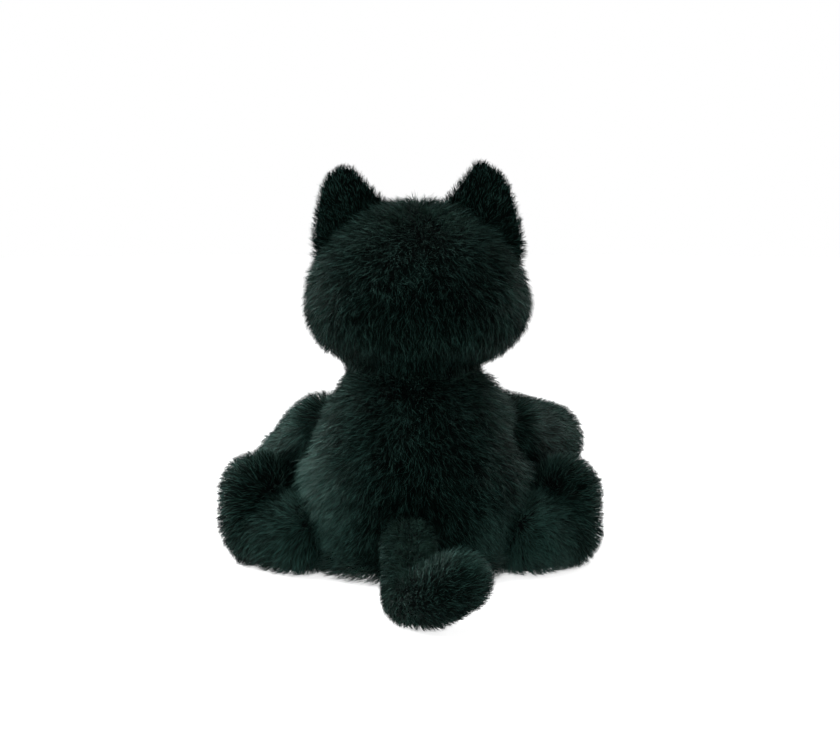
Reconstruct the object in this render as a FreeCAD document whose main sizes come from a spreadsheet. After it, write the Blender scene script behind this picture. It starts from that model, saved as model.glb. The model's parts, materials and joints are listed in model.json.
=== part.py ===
import FreeCAD, Part
import math
import os
import Sketcher

from FreeCAD import Placement, Rotation, Vector

# A seated plush cat, as a parametric document in millimetres.
# Origin: middle of the flat seat, on the surface it sits on. +Z is up, the face looks along -Y.
# Every soft part is a fur cover (cloth backing with its pile) round a core of stuffing.

DRIVING_SIZES = {
    # cloth and gaps
    "pile_depth": 5.0,
    "core_gap": 0.3,
    "joint_gap": 0.6,
    "swing_gap": 0.9,
    "fan_gap": 1.2,
    # torso: a flat-bottomed pear, less deep than wide
    "seat_radius": 33.0,
    "seat_corner": 30.0,
    "seat_sink": 0.3,
    "flank_radius": 125.0,
    "collar_radius": 36.0,
    "collar_level": 116.0,
    "torso_depth": 0.94,
    "seat_panel_level": 7.0,
    # pellet pouch in the seat
    "pouch_width": 38.0,
    "pouch_depth": 32.0,
    "pouch_thick": 11.0,
    "pouch_level": 20.0,
    "pouch_cloth": 0.8,
    # neck: a ball under the head, and a firm plug of stuffing that lets it nod and turn
    "neck_y": -3.0,
    "neck_level": 128.0,
    "neck_ball": 39.0,
    "plug_ball": 18.0,
    "plug_stem": 9.0,
    "plug_foot_level": 62.0,
    "nod_limit": 15.0,
    "turn_margin": 1.0,
    "mouth_of_neck": 4.0,
    # head: a round crown, full cheeks and a flatter underside
    "head_x": -2.0,
    "head_y": -3.0,
    "crown_level": 216.0,
    "cheek_level": 157.0,
    "cheek_radius": 33.0,
    "head_half_width": 64.0,
    "jaw_level": 116.0,
    "head_depth": 0.84,
    "muzzle_width": 25.0,
    "muzzle_depth": 15.0,
    "muzzle_rise": 18.0,
    "muzzle_y": -49.0,
    "muzzle_level": 141.0,
    # eyes and nose: domed buttons on posts, each held by a washer behind the cloth
    "eye_radius": 7.0,
    "eye_bulge": 4.5,
    "eye_x": 26.0,
    "eye_y": -50.0,
    "eye_level": 162.0,
    "eye_turn": 28.0,
    "nose_radius": 5.0,
    "nose_bulge": 4.0,
    "nose_y": -62.5,
    "nose_level": 146.0,
    "post_radius": 2.0,
    "post_length": 10.0,
    "eye_washer_radius": 8.0,
    "eye_washer_back": 7.5,
    "nose_washer_radius": 4.5,
    "nose_washer_back": 9.0,
    "washer_thick": 1.2,
    "washer_room": 4.0,
    "post_fit": 0.05,
    "post_clear": 1.0,
    "pile_parting": 20.0,
    "thread_radius": 0.9,
    "smile_radius": 5.5,
    "smile_level": 137.5,
    "smile_y": -63.6,
    "smile_forward": 1.2,
    "smile_sweep": 140.0,
    "smile_turn": 14.0,
    "smile_lip": 5.6,
    # ears: flat upright triangles with a rounded root that lies along the side of the crown
    "ear_x": 37.0,
    "ear_y": -3.0,
    "ear_level": 196.6,
    "ear_slope": 35.8,
    "ear_half_width": 26.5,
    "ear_root": 7.0,
    "left_ear_height": 35.5,
    "right_ear_height": 33.0,
    "left_ear_shift": 13.5,
    "right_ear_shift": 18.5,
    "ear_limit": 20.0,
    # arms: tapered sausages from the shoulders, forward, outward and down
    "shoulder_x": 54.0,
    "shoulder_y": -22.0,
    "shoulder_level": 77.5,
    "arm_root": 22.5,
    "paw_radius": 21.0,
    "arm_reach": 63.0,
    "arm_splay": 62.0,
    "left_arm_droop": 31.0,
    "right_arm_droop": 12.0,
    # legs: short sausages on the ground, each with an upright foot
    "hip_x": 66.0,
    "hip_y": 8.0,
    "hip_level": 22.0,
    "leg_root": 25.0,
    "ankle_radius": 22.0,
    "left_leg_reach": 31.0,
    "right_leg_reach": 27.0,
    "leg_splay": 33.0,
    "heel_radius": 22.0,
    "toe_radius": 20.5,
    "foot_rise": 22.5,
    "sole_reach": 17.5,
    "sole_cloth": 1.6,
    # tail: a thick sausage that runs back along the ground and curls at its end
    "tail_x": 2.5,
    "tail_y": 65.0,
    "tail_level": 29.0,
    "tail_radius": 15.5,
    "tail_slope": 13.0,
    "tail_run": 61.0,
    "tail_bend": 21.0,
    "tail_end": 6.0,
    "tail_roll": 35.0,
}

doc = FreeCAD.newDocument("plush_cat")
sheet = doc.addObject("Spreadsheet::Sheet", "sizes")
for row, (alias, size) in enumerate(DRIVING_SIZES.items(), start=1):
    sheet.set(f"A{row}", alias)
    sheet.set(f"B{row}", str(size))
    sheet.setAlias(f"B{row}", alias)
doc.recompute()

SIDES = {"left": 1, "right": -1}
FAR = 400.0
parts = []


def size(alias):
    """A driving size, as a number."""
    return float(sheet.get(alias))


def bind(feature, **expressions):
    """Drive properties of a feature from the sheet."""
    for name, expression in expressions.items():
        feature.setExpression(name, expression)
    return feature


def finish_part(feature, label, placement=None):
    """Give a sub-part its label and place, and list it for export."""
    feature.Label = label
    if placement:
        feature.Placement = placement
    parts.append(feature)
    return feature


def fuse(name, shapes):
    joined = doc.addObject("Part::MultiFuse", name)
    joined.Shapes = shapes
    return joined


def cut(name, base, tool):
    taken = doc.addObject("Part::Cut", name)
    taken.Base = base
    taken.Tool = tool
    return taken


def keep_inside(name, base, tool):
    shared = doc.addObject("Part::Common", name)
    shared.Base = base
    shared.Tool = tool
    return shared


def block(name, low, high):
    """A box between two corners, used to trim and split."""
    solid = doc.addObject("Part::Box", name)
    solid.Length = high[0] - low[0]
    solid.Width = high[1] - low[1]
    solid.Height = high[2] - low[2]
    solid.Placement.Base = Vector(*low)
    return solid


def ball(name, radius, centre):
    solid = bind(doc.addObject("Part::Sphere", name), Radius=radius)
    solid.Placement.Base = Vector(*centre)
    return solid


def oval_ball(name, rise, width, depth, centre):
    """An ellipsoid: half sizes along Z, X and Y."""
    solid = bind(doc.addObject("Part::Ellipsoid", name), Radius1=rise, Radius2=width, Radius3=depth)
    solid.Placement.Base = Vector(*centre)
    return solid


def rod(name, radius, length, placement):
    solid = bind(doc.addObject("Part::Cylinder", name), Radius=radius, Height=length)
    solid.Placement = placement
    return solid


# Sketched turned forms


def new_body(name):
    return doc.addObject("PartDesign::Body", name)


def new_sketch(body, role, name):
    """A sketch on one of the body's own origin planes."""
    sketch = body.newObject("Sketcher::SketchObject", name)
    plane = next(item for item in body.Origin.OriginFeatures if item.Role == role)
    sketch.AttachmentSupport = [(plane, "")]
    sketch.MapMode = "FlatFace"
    return sketch


def dimension(sketch, kind, elements, number, name, expression):
    """A named dimension that the sheet drives."""
    index = sketch.addConstraint(Sketcher.Constraint(kind, *elements, number))
    sketch.renameConstraint(index, name)
    sketch.setExpression(f"Constraints.{name}", expression)


def line(sketch, start, end):
    return sketch.addGeometry(Part.LineSegment(Vector(*start, 0), Vector(*end, 0)), False)


def arc(sketch, centre, radius, start_angle, end_angle):
    circle = Part.Circle(Vector(*centre, 0), Vector(0, 0, 1), radius)
    return sketch.addGeometry(Part.ArcOfCircle(circle, start_angle, end_angle), False)


def join(sketch, first, first_end, second, second_end, kind="Coincident"):
    sketch.addConstraint(Sketcher.Constraint(kind, first, first_end, second, second_end))


def on_axis(sketch, element, point, axis):
    sketch.addConstraint(Sketcher.Constraint("PointOnObject", element, point, axis))


def turn(body, sketch, axis):
    turned = body.newObject("PartDesign::Revolution", f"{body.Name}_turned")
    turned.Profile = sketch
    turned.ReferenceAxis = (sketch, [axis])
    turned.Angle = 360
    body.Tip = turned
    return body


START, END, CENTRE = 1, 2, 3
H_AXIS, V_AXIS = -1, -2


def sausage(name, root_alias, tip_alias, reach_alias, inset="0"):
    """A tapered sausage along +X: a ball at the origin, a ball at the reach, a cone between."""
    inset_size = inset_number(inset)
    root = size(root_alias) - inset_size
    tip = size(tip_alias) - inset_size
    reach = size(reach_alias)
    lean = math.acos((root - tip) / reach)
    body = new_body(name)
    sketch = new_sketch(body, "XZ_Plane", f"{name}_outline")
    root_arc = arc(sketch, (0, 0), root, lean, math.pi)
    tip_arc = arc(sketch, (reach, 0), tip, 0, lean)
    rim = (math.cos(lean), math.sin(lean))
    side = line(
        sketch,
        (root * rim[0], root * rim[1]),
        (reach + tip * rim[0], tip * rim[1]),
    )
    middle = line(sketch, (-root, 0), (reach + tip, 0))
    sketch.addConstraint(Sketcher.Constraint("Coincident", root_arc, CENTRE, -1, 1))
    on_axis(sketch, tip_arc, CENTRE, H_AXIS)
    join(sketch, root_arc, START, side, START, "Tangent")
    join(sketch, side, END, tip_arc, END, "Tangent")
    join(sketch, root_arc, END, middle, START)
    join(sketch, middle, END, tip_arc, START)
    on_axis(sketch, middle, START, H_AXIS)
    on_axis(sketch, middle, END, H_AXIS)
    dimension(sketch, "DistanceX", (tip_arc, CENTRE), reach, "reach", f"sizes.{reach_alias}")
    dimension(sketch, "Radius", (root_arc,), root, "root", f"sizes.{root_alias} - ({inset})")
    dimension(sketch, "Radius", (tip_arc,), tip, "tip", f"sizes.{tip_alias} - ({inset})")
    return turn(body, sketch, "H_Axis")


# How far inside the outer face of the pile a form lies, as an expression of the sheet.
SKIN = "0"
LINING = "sizes.pile_depth"
CORE = "sizes.pile_depth + sizes.core_gap"
SWING = "0 - sizes.swing_gap"


def inset_number(inset):
    depth = {SKIN: 0.0, LINING: size("pile_depth"), SWING: -size("swing_gap")}
    depth[CORE] = size("pile_depth") + size("core_gap")
    return depth[inset]


# Torso


def torso_form(name, inset):
    """The pear of the torso: flat seat, round corner, long flank up to the collar.

    It reaches a little under the ground, where its seat is trimmed flat.
    """
    depth = inset_number(inset)
    seat = size("seat_radius")
    corner = size("seat_corner") - depth
    flank = size("flank_radius") - depth
    corner_level = size("seat_corner") - size("seat_sink")
    top = size("collar_level")
    collar = size("collar_radius") - depth
    # the flank's centre lies where its circle touches the corner's and meets the collar
    chord = Vector(collar - seat, top - corner_level)
    along = ((flank - corner) ** 2 - flank**2 + chord.Length**2) / (2 * chord.Length)
    across = math.sqrt((flank - corner) ** 2 - along**2)
    unit = Vector(chord).normalize()
    centre = (
        seat + along * unit.x - across * unit.y,
        corner_level + along * unit.y + across * unit.x,
    )
    touch = math.atan2(corner_level - centre[1], seat - centre[0])
    collar_angle = math.atan2(top - centre[1], collar - centre[0])
    body = new_body(name)
    sketch = new_sketch(body, "XZ_Plane", f"{name}_outline")
    floor = corner_level - corner
    base = line(sketch, (0, floor), (seat, floor))
    corner_arc = arc(sketch, (seat, corner_level), corner, -math.pi / 2, touch)
    flank_arc = arc(sketch, centre, flank, touch, collar_angle)
    lid = line(sketch, (collar, top), (0, top))
    spine = line(sketch, (0, top), (0, floor))
    join(sketch, base, END, corner_arc, START, "Tangent")
    join(sketch, corner_arc, END, flank_arc, START, "Tangent")
    join(sketch, flank_arc, END, lid, START)
    join(sketch, lid, END, spine, START)
    join(sketch, spine, END, base, START)
    on_axis(sketch, base, START, V_AXIS)
    on_axis(sketch, lid, END, V_AXIS)
    sketch.addConstraint(Sketcher.Constraint("Horizontal", lid))
    sketch.addConstraint(Sketcher.Constraint("Horizontal", base))
    dimension(sketch, "DistanceX", (corner_arc, CENTRE), seat, "seat", "sizes.seat_radius")
    rise = "sizes.seat_corner - sizes.seat_sink"
    dimension(sketch, "DistanceY", (corner_arc, CENTRE), corner_level, "rise", rise)
    dimension(sketch, "Radius", (corner_arc,), corner, "corner", f"sizes.seat_corner - ({inset})")
    dimension(sketch, "Radius", (flank_arc,), flank, "flank", f"sizes.flank_radius - ({inset})")
    dimension(sketch, "DistanceY", (lid, START), top, "top", "sizes.collar_level")
    dimension(sketch, "DistanceX", (lid, START), collar, "collar", f"sizes.collar_radius - ({inset})")
    turn(body, sketch, "V_Axis")
    scaled = doc.addObject("Part::Scale", f"{name}_oval")
    scaled.Base = body
    scaled.Uniform = False
    scaled.XScale = 1
    scaled.ZScale = 1
    bind(scaled, YScale="sizes.torso_depth")
    return scaled


def limb_place(side, kind):
    """Where a limb's own frame stands: origin in the joint, +X along the limb."""
    sign = SIDES[side]
    turned = 0 if sign > 0 else 180
    if kind == "arm":
        base = Vector(sign * size("shoulder_x"), size("shoulder_y"), size("shoulder_level"))
        droop = Rotation(Vector(0, 1, 0), size(f"{side}_arm_droop"))
        splay = size("arm_splay")
    else:
        base = Vector(sign * size("hip_x"), size("hip_y"), size("hip_level"))
        droop = Rotation()
        splay = size("leg_splay")
    return Placement(base, Rotation(Vector(0, 0, 1), turned - sign * splay).multiply(droop))


def tail_place():
    heading = Rotation(Vector(0, 0, 1), 90)
    droop = Rotation(Vector(0, 1, 0), size("tail_slope"))
    roll = Rotation(Vector(1, 0, 0), size("tail_roll"))
    base = Vector(size("tail_x"), size("tail_y"), size("tail_level"))
    return Placement(base, heading.multiply(droop).multiply(roll))


# How far each limb swings from rest, in degrees: arms rise, legs close towards the front.
SWING_LIMITS = {
    ("left", "arm"): (-10, 60),
    ("right", "arm"): (-25, 45),
    ("left", "leg"): (-30, 15),
    ("right", "leg"): (-30, 15),
}


def limb_sizes(side, kind):
    """The sheet's names for a limb's root radius, tip radius and reach."""
    if kind == "arm":
        return "arm_root", "paw_radius", "arm_reach"
    return "leg_root", "ankle_radius", f"{side}_leg_reach"


def limb_swing(side, kind, angle):
    """A limb's own frame turned about its joint."""
    axis = Vector(0, -1, 0) if kind == "arm" else Vector(0, 0, -SIDES[side])
    return limb_place(side, kind).multiply(Placement(Vector(), Rotation(axis, angle)))


def swing_fan(side, kind):
    """What a limb's middle section sweeps over its whole swing, turned about the joint's axis."""
    root_alias, tip_alias, reach_alias = limb_sizes(side, kind)
    gap = size("fan_gap")
    root = size(root_alias) + gap
    tip = size(tip_alias) + gap
    reach = size(reach_alias)
    lean = math.acos((root - tip) / reach)
    tip_rim = (reach + tip * math.cos(lean), tip * math.sin(lean))
    low, high = SWING_LIMITS[side, kind]
    body = new_body(f"{side}_{kind}_fan")
    sketch = new_sketch(body, "XY_Plane" if kind == "arm" else "XZ_Plane", f"{side}_{kind}_fan_outline")
    hinge = line(sketch, (0, root), (0, -root))
    under = line(sketch, (0, -root), (tip_rim[0], -tip_rim[1]))
    tip_arc = arc(sketch, (reach, 0), tip, -lean, lean)
    over = line(sketch, tip_rim, (0, root))
    join(sketch, hinge, END, under, START)
    join(sketch, under, END, tip_arc, START, "Tangent")
    join(sketch, tip_arc, END, over, START, "Tangent")
    join(sketch, over, END, hinge, START)
    on_axis(sketch, hinge, START, V_AXIS)
    on_axis(sketch, hinge, END, V_AXIS)
    on_axis(sketch, tip_arc, CENTRE, H_AXIS)
    dimension(sketch, "DistanceX", (tip_arc, CENTRE), reach, "reach", f"sizes.{reach_alias}")
    dimension(sketch, "Radius", (tip_arc,), tip, "tip", f"sizes.{tip_alias} + sizes.fan_gap")
    dimension(sketch, "DistanceY", (hinge, START), root, "root", f"sizes.{root_alias} + sizes.fan_gap")
    turn(body, sketch, "V_Axis")
    body.Tip.Angle = high - low
    body.Tip.Reversed = kind == "arm" or side == "left"
    body.Placement = limb_swing(side, kind, low)
    return body


def swing_rooms(side, kind):
    """Room beside the torso for a limb's swing: the fan, its ends, and the root's socket."""
    root_alias = limb_sizes(side, kind)[0]
    rooms = [swing_fan(side, kind)]
    for stop in SWING_LIMITS[side, kind]:
        name = f"{side}_{kind}_room_{'low' if stop < 0 else 'high'}"
        end = sausage(name, *limb_sizes(side, kind), SWING)
        end.Placement = limb_swing(side, kind, stop)
        rooms.append(end)
    centre = limb_place(side, kind).Base
    rooms.append(ball(f"{side}_{kind}_socket", f"sizes.{root_alias} + sizes.joint_gap", centre))
    return rooms


def joint_sockets():
    """The hollows in the torso that the neck ball and the limb roots turn in."""
    neck = (0, size("neck_y"), size("neck_level"))
    tools = [ball("neck_cup", "sizes.neck_ball + sizes.joint_gap", neck)]
    for side, kind in SWING_LIMITS:
        tools.extend(swing_rooms(side, kind))
    tools.append(ball("tail_socket", "sizes.tail_radius + sizes.joint_gap", tail_place().Base))
    stem = Placement(Vector(0, size("neck_y"), size("plug_foot_level") - size("joint_gap")), Rotation())
    stem_length = "sizes.neck_level - sizes.plug_foot_level"
    tools.append(rod("plug_hole", "sizes.plug_stem + sizes.joint_gap", stem_length, stem))
    return fuse("torso_sockets", tools)


def make_torso():
    """Back, belly and seat panels, the stuffing, and the pellet pouch inside it."""
    sockets = joint_sockets()
    shell = cut("torso_shell", torso_form("torso_skin", SKIN), torso_form("torso_lining", LINING))
    open_shell = cut("torso_shell_open", shell, sockets)
    panel_level = size("seat_panel_level")
    below = block("seat_side", (-FAR, -FAR, 0), (FAR, FAR, panel_level))
    behind = block("back_side", (-FAR, 0, panel_level), (FAR, FAR, FAR))
    before = block("belly_side", (-FAR, -FAR, panel_level), (FAR, 0, FAR))
    finish_part(keep_inside("seat_panel", open_shell, below), "seat_panel")
    finish_part(keep_inside("back_panel", open_shell, behind), "back_panel")
    finish_part(keep_inside("belly_panel", open_shell, before), "belly_panel")

    centre = (0, 0, size("pouch_level"))
    pouch = [
        oval_ball(
            f"pouch_{name}",
            f"sizes.pouch_thick + {grow}",
            f"sizes.pouch_width + {grow}",
            f"sizes.pouch_depth + {grow}",
            centre,
        )
        for name, grow in (
            ("room", "sizes.core_gap"),
            ("face", "0"),
            ("inside", "(0 - sizes.pouch_cloth)"),
            ("fill", "(0 - sizes.pouch_cloth - sizes.core_gap)"),
        )
    ]
    stuffing = cut("body_core", torso_form("torso_core", CORE), fuse("core_room", [sockets, pouch[0]]))
    finish_part(stuffing, "body_stuffing")
    finish_part(cut("pellet_pouch", pouch[1], pouch[2]), "pellet_pouch")
    finish_part(pouch[3], "pellet_fill")


# Neck


def make_neck():
    """A firm ball of rolled stuffing in the head, on a stem that stands in the torso."""
    neck = (0, size("neck_y"), size("neck_level"))
    foot = Placement(Vector(0, size("neck_y"), size("plug_foot_level")), Rotation())
    stem = rod("plug_stem_rod", "sizes.plug_stem", "sizes.neck_level - sizes.plug_foot_level", foot)
    finish_part(fuse("neck_stuffing", [ball("plug_head", "sizes.plug_ball", neck), stem]), "neck_stuffing")


def plug_room():
    """The room in the head round the neck plug: its ball, and a cone for the stem to nod in."""
    neck = Vector(0, size("neck_y"), size("neck_level"))
    tools = [ball("plug_ball_room", "sizes.plug_ball + sizes.joint_gap", neck)]
    cone = doc.addObject("Part::Cone", "plug_stem_room")
    radius = "sizes.plug_stem + sizes.joint_gap"
    length = "(sizes.neck_ball + sizes.mouth_of_neck)"
    opening = "tan((sizes.nod_limit + sizes.turn_margin) * 1 deg)"
    bind(cone, Height=length, Radius1=radius, Radius2=f"{radius} + {length} * {opening}")
    cone.Placement = Placement(neck, Rotation(Vector(1, 0, 0), 180))
    tools.append(cone)
    return fuse("plug_clearance", tools)


# Head


def head_round(name, inset):
    """Crown, cheek and underside as three arcs that touch, turned and then made less deep."""
    depth = inset_number(inset)
    cheek = size("cheek_radius") - depth
    cheek_x = size("head_half_width") - size("cheek_radius")
    cheek_z = size("cheek_level")
    crown_top = size("crown_level") - depth
    jaw = size("jaw_level") + depth

    def axis_circle(tip, towards):
        """Radius of the circle centred on the axis that passes its tip and touches the cheek."""
        rise = (cheek_z - tip) * towards
        return (cheek_x**2 + rise**2 - cheek**2) / (2 * (rise - cheek))

    crown = axis_circle(crown_top, -1)
    under = axis_circle(jaw, 1)
    crown_touch = math.atan2(cheek_z - (crown_top - crown), cheek_x)
    under_touch = math.atan2(cheek_z - (jaw + under), cheek_x)
    body = new_body(name)
    sketch = new_sketch(body, "XZ_Plane", f"{name}_outline")
    under_arc = arc(sketch, (0, jaw + under), under, -math.pi / 2, under_touch)
    cheek_arc = arc(sketch, (cheek_x, cheek_z), cheek, under_touch, crown_touch)
    crown_arc = arc(sketch, (0, crown_top - crown), crown, crown_touch, math.pi / 2)
    spine = line(sketch, (0, crown_top), (0, jaw))
    join(sketch, under_arc, END, cheek_arc, START, "Tangent")
    join(sketch, cheek_arc, END, crown_arc, START, "Tangent")
    join(sketch, crown_arc, END, spine, START)
    join(sketch, spine, END, under_arc, START)
    for round_arc in (under_arc, crown_arc):
        on_axis(sketch, round_arc, CENTRE, V_AXIS)
    on_axis(sketch, under_arc, START, V_AXIS)
    on_axis(sketch, crown_arc, END, V_AXIS)
    half = "sizes.head_half_width - sizes.cheek_radius"
    dimension(sketch, "DistanceX", (cheek_arc, CENTRE), cheek_x, "cheek_x", half)
    dimension(sketch, "DistanceY", (cheek_arc, CENTRE), cheek_z, "cheek_z", "sizes.cheek_level")
    dimension(sketch, "Radius", (cheek_arc,), cheek, "cheek", f"sizes.cheek_radius - ({inset})")
    dimension(sketch, "DistanceY", (crown_arc, END), crown_top, "top", f"sizes.crown_level - ({inset})")
    dimension(sketch, "DistanceY", (under_arc, START), jaw, "jaw", f"sizes.jaw_level + {inset}")
    turn(body, sketch, "V_Axis")
    scaled = doc.addObject("Part::Scale", f"{name}_oval")
    scaled.Base = body
    scaled.Uniform = False
    scaled.XScale = 1
    scaled.ZScale = 1
    bind(scaled, YScale="sizes.head_depth")
    scaled.Placement.Base = Vector(size("head_x"), size("head_y"), 0)
    return scaled


def head_form(name, inset):
    """Head with the neck ball under it and the muzzle in front."""
    neck = (0, size("neck_y"), size("neck_level"))
    muzzle = oval_ball(
        f"{name}_muzzle",
        f"sizes.muzzle_rise - ({inset})",
        f"sizes.muzzle_width - ({inset})",
        f"sizes.muzzle_depth - ({inset})",
        (size("head_x"), size("muzzle_y"), size("muzzle_level")),
    )
    neck_ball = ball(f"{name}_neck", f"sizes.neck_ball - ({inset})", neck)
    return fuse(name, [head_round(f"{name}_round", inset), neck_ball, muzzle])


def button_place(side):
    """Where an eye or the nose sits: its own +X points out of the face."""
    if side == "nose":
        base = Vector(size("head_x"), size("nose_y"), size("nose_level"))
        return Placement(base, Rotation(Vector(0, 0, 1), -90))
    sign = SIDES[side]
    base = Vector(size("head_x") + sign * size("eye_x"), size("eye_y"), size("eye_level"))
    return Placement(base, Rotation(Vector(0, 0, 1), -90 + sign * size("eye_turn")))


def button(name, radius_alias, bulge_alias):
    """A domed safety eye with its post, turned about +X."""
    radius = size(radius_alias)
    bulge = size(bulge_alias)
    post = size("post_radius")
    dome = (radius**2 + bulge**2) / (2 * bulge)
    body = new_body(name)
    sketch = new_sketch(body, "XZ_Plane", f"{name}_outline")
    post_end = line(sketch, (-size("post_length"), 0), (-size("post_length"), post))
    post_side = line(sketch, (-size("post_length"), post), (0, post))
    back = line(sketch, (0, post), (0, radius))
    dome_angle = math.asin(radius / dome)
    dome_arc = arc(sketch, (bulge - dome, 0), dome, 0, dome_angle)
    middle = line(sketch, (bulge, 0), (-size("post_length"), 0))
    join(sketch, post_end, END, post_side, START)
    join(sketch, post_side, END, back, START)
    join(sketch, back, END, dome_arc, END)
    join(sketch, dome_arc, START, middle, START)
    join(sketch, middle, END, post_end, START)
    sketch.addConstraint(Sketcher.Constraint("Vertical", post_end))
    sketch.addConstraint(Sketcher.Constraint("Horizontal", post_side))
    on_axis(sketch, back, START, V_AXIS)
    on_axis(sketch, back, END, V_AXIS)
    on_axis(sketch, middle, START, H_AXIS)
    on_axis(sketch, middle, END, H_AXIS)
    on_axis(sketch, dome_arc, CENTRE, H_AXIS)
    dimension(sketch, "DistanceY", (back, START), post, "post", "sizes.post_radius")
    dimension(sketch, "DistanceY", (back, END), radius, "rim", f"sizes.{radius_alias}")
    dimension(sketch, "DistanceX", (middle, START), bulge, "bulge", f"sizes.{bulge_alias}")
    dimension(sketch, "Distance", (post_side,), size("post_length"), "length", "sizes.post_length")
    return turn(body, sketch, "H_Axis")


def make_button(name, kind):
    """A button and its washer. Gives back the room cut for the button and for the washer."""
    place = button_place(name.split("_")[0])
    finish_part(button(name, f"{kind}_radius", f"{kind}_bulge"), name, place)
    along = Rotation(Vector(0, 1, 0), 90)
    back = size(f"{kind}_washer_back")
    washer_at = place.multiply(Placement(Vector(-back, 0, 0), along))
    disc = rod(f"{name}_disc", f"sizes.{kind}_washer_radius", "sizes.washer_thick", washer_at)
    bore = rod(f"{name}_bore", "sizes.post_radius + sizes.post_fit", "sizes.washer_thick", washer_at)
    finish_part(cut(f"{name}_washer", disc, bore), f"{name}_washer")
    seat_at = place.multiply(Placement(Vector(), along))
    seat = rod(f"{name}_seat", f"sizes.{kind}_radius + sizes.post_fit", "sizes.pile_parting", seat_at)
    post_at = place.multiply(Placement(Vector(-size("post_length") - size("post_clear"), 0, 0), along))
    post_room = "sizes.post_length + sizes.post_clear"
    hole = rod(f"{name}_hole", "sizes.post_radius + sizes.post_fit", post_room, post_at)
    room_at = place.multiply(Placement(Vector(-back - size("post_clear"), 0, 0), along))
    room_radius = f"sizes.{kind}_washer_radius + sizes.core_gap"
    washer_room = rod(f"{name}_washer_room", room_radius, "sizes.washer_room", room_at)
    return fuse(f"{name}_room", [seat, hole]), washer_room


def make_mouth():
    """The embroidered mouth: a short drop under the nose and two curves, one thick thread."""
    radius = size("smile_radius")
    level = size("smile_level")
    front = size("smile_y")
    middle = size("head_x")
    drop = Placement(Vector(middle, front, level), Rotation())
    drop_length = "sizes.nose_level - sizes.smile_level - sizes.smile_lip"
    pieces = [rod("mouth_drop", "sizes.thread_radius", drop_length, drop)]
    for side, sign in SIDES.items():
        curve = doc.addObject("Part::Torus", f"mouth_{side}")
        bind(
            curve,
            Radius1="sizes.smile_radius",
            Radius2="sizes.thread_radius",
            Angle3="sizes.smile_sweep",
        )
        upright = Rotation(Vector(1, 0, 0), 90)
        start = Rotation(Vector(0, 0, 1), 180 if sign > 0 else -size("smile_sweep"))
        turned = Rotation(Vector(0, 0, 1), sign * size("smile_turn")).multiply(upright).multiply(start)
        curve_at = Vector(middle + sign * radius, front + size("smile_forward"), level)
        curve.Placement = Placement(curve_at, turned)
        pieces.append(curve)
    finish_part(fuse("mouth_stitch", pieces), "mouth_stitch")


# Ears

# Height, half width and inward shift of each cross-section, as shares of the ear's own sizes,
# and its half thickness as a share of the root's.
EAR_SECTIONS = (
    (0.0, 1.0, 0.0, 1.0),
    (0.25, 0.87, 0.13, 0.82),
    (0.5, 0.70, 0.36, 0.68),
    (0.75, 0.49, 0.65, 0.56),
    (0.93, 0.30, 0.88, 0.46),
    (1.0, 0.15, 0.96, 0.25),
)


def ear_place(side):
    base = Vector(size("head_x") + SIDES[side] * size("ear_x"), size("ear_y"), size("ear_level"))
    turned = 0 if side == "left" else 180
    tilt = Rotation(Vector(0, 1, 0), size("ear_slope"))
    return Placement(base, Rotation(Vector(0, 0, 1), turned).multiply(tilt))


def ear_form(name, side, grow="0", fan="0", sections=EAR_SECTIONS):
    """An ear in its own frame: +X down along the root, +Z up, loft plus a rounded root."""
    rings = []
    for number, (rise, width, shift, thick) in enumerate(sections):
        ring = doc.addObject("Part::Ellipse", f"{name}_ring_{number}")
        level = rise * size(f"{side}_ear_height")
        bind(
            ring,
            MajorRadius=f"sizes.ear_half_width * {width} + {grow}",
            MinorRadius=f"sizes.ear_root * {thick} + {grow} + {level} * {fan}",
        )
        ring.Placement.Base = Vector(-shift * size(f"{side}_ear_shift"), 0, level)
        rings.append(ring)
    blade = doc.addObject("Part::Loft", f"{name}_blade")
    blade.Sections = rings
    blade.Solid = True
    root = oval_ball(
        f"{name}_root",
        f"sizes.ear_root + {grow}",
        f"sizes.ear_half_width + {grow}",
        f"sizes.ear_root + {grow}",
        (0, 0, 0),
    )
    return fuse(name, [blade, root])


def make_ear(side):
    """Furry back panel and smooth front panel, sewn together round the edge."""
    place = ear_place(side)
    back_sign = SIDES[side]
    form = ear_form(f"{side}_ear_form", side)
    for panel, sign in (("back", back_sign), ("front", -back_sign)):
        low = (-FAR, 0 if sign > 0 else -FAR, -FAR)
        high = (FAR, FAR if sign > 0 else 0, FAR)
        half = block(f"{side}_ear_{panel}_side", low, high)
        finish_part(keep_inside(f"{side}_ear_{panel}", form, half), f"{side}_ear_{panel}", place)
    fan = "tan((sizes.ear_limit + sizes.turn_margin) * 1 deg)"
    room = ear_form(f"{side}_ear_room", side, "sizes.joint_gap", fan, EAR_SECTIONS[:3])
    room.Placement = place
    return room


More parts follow.
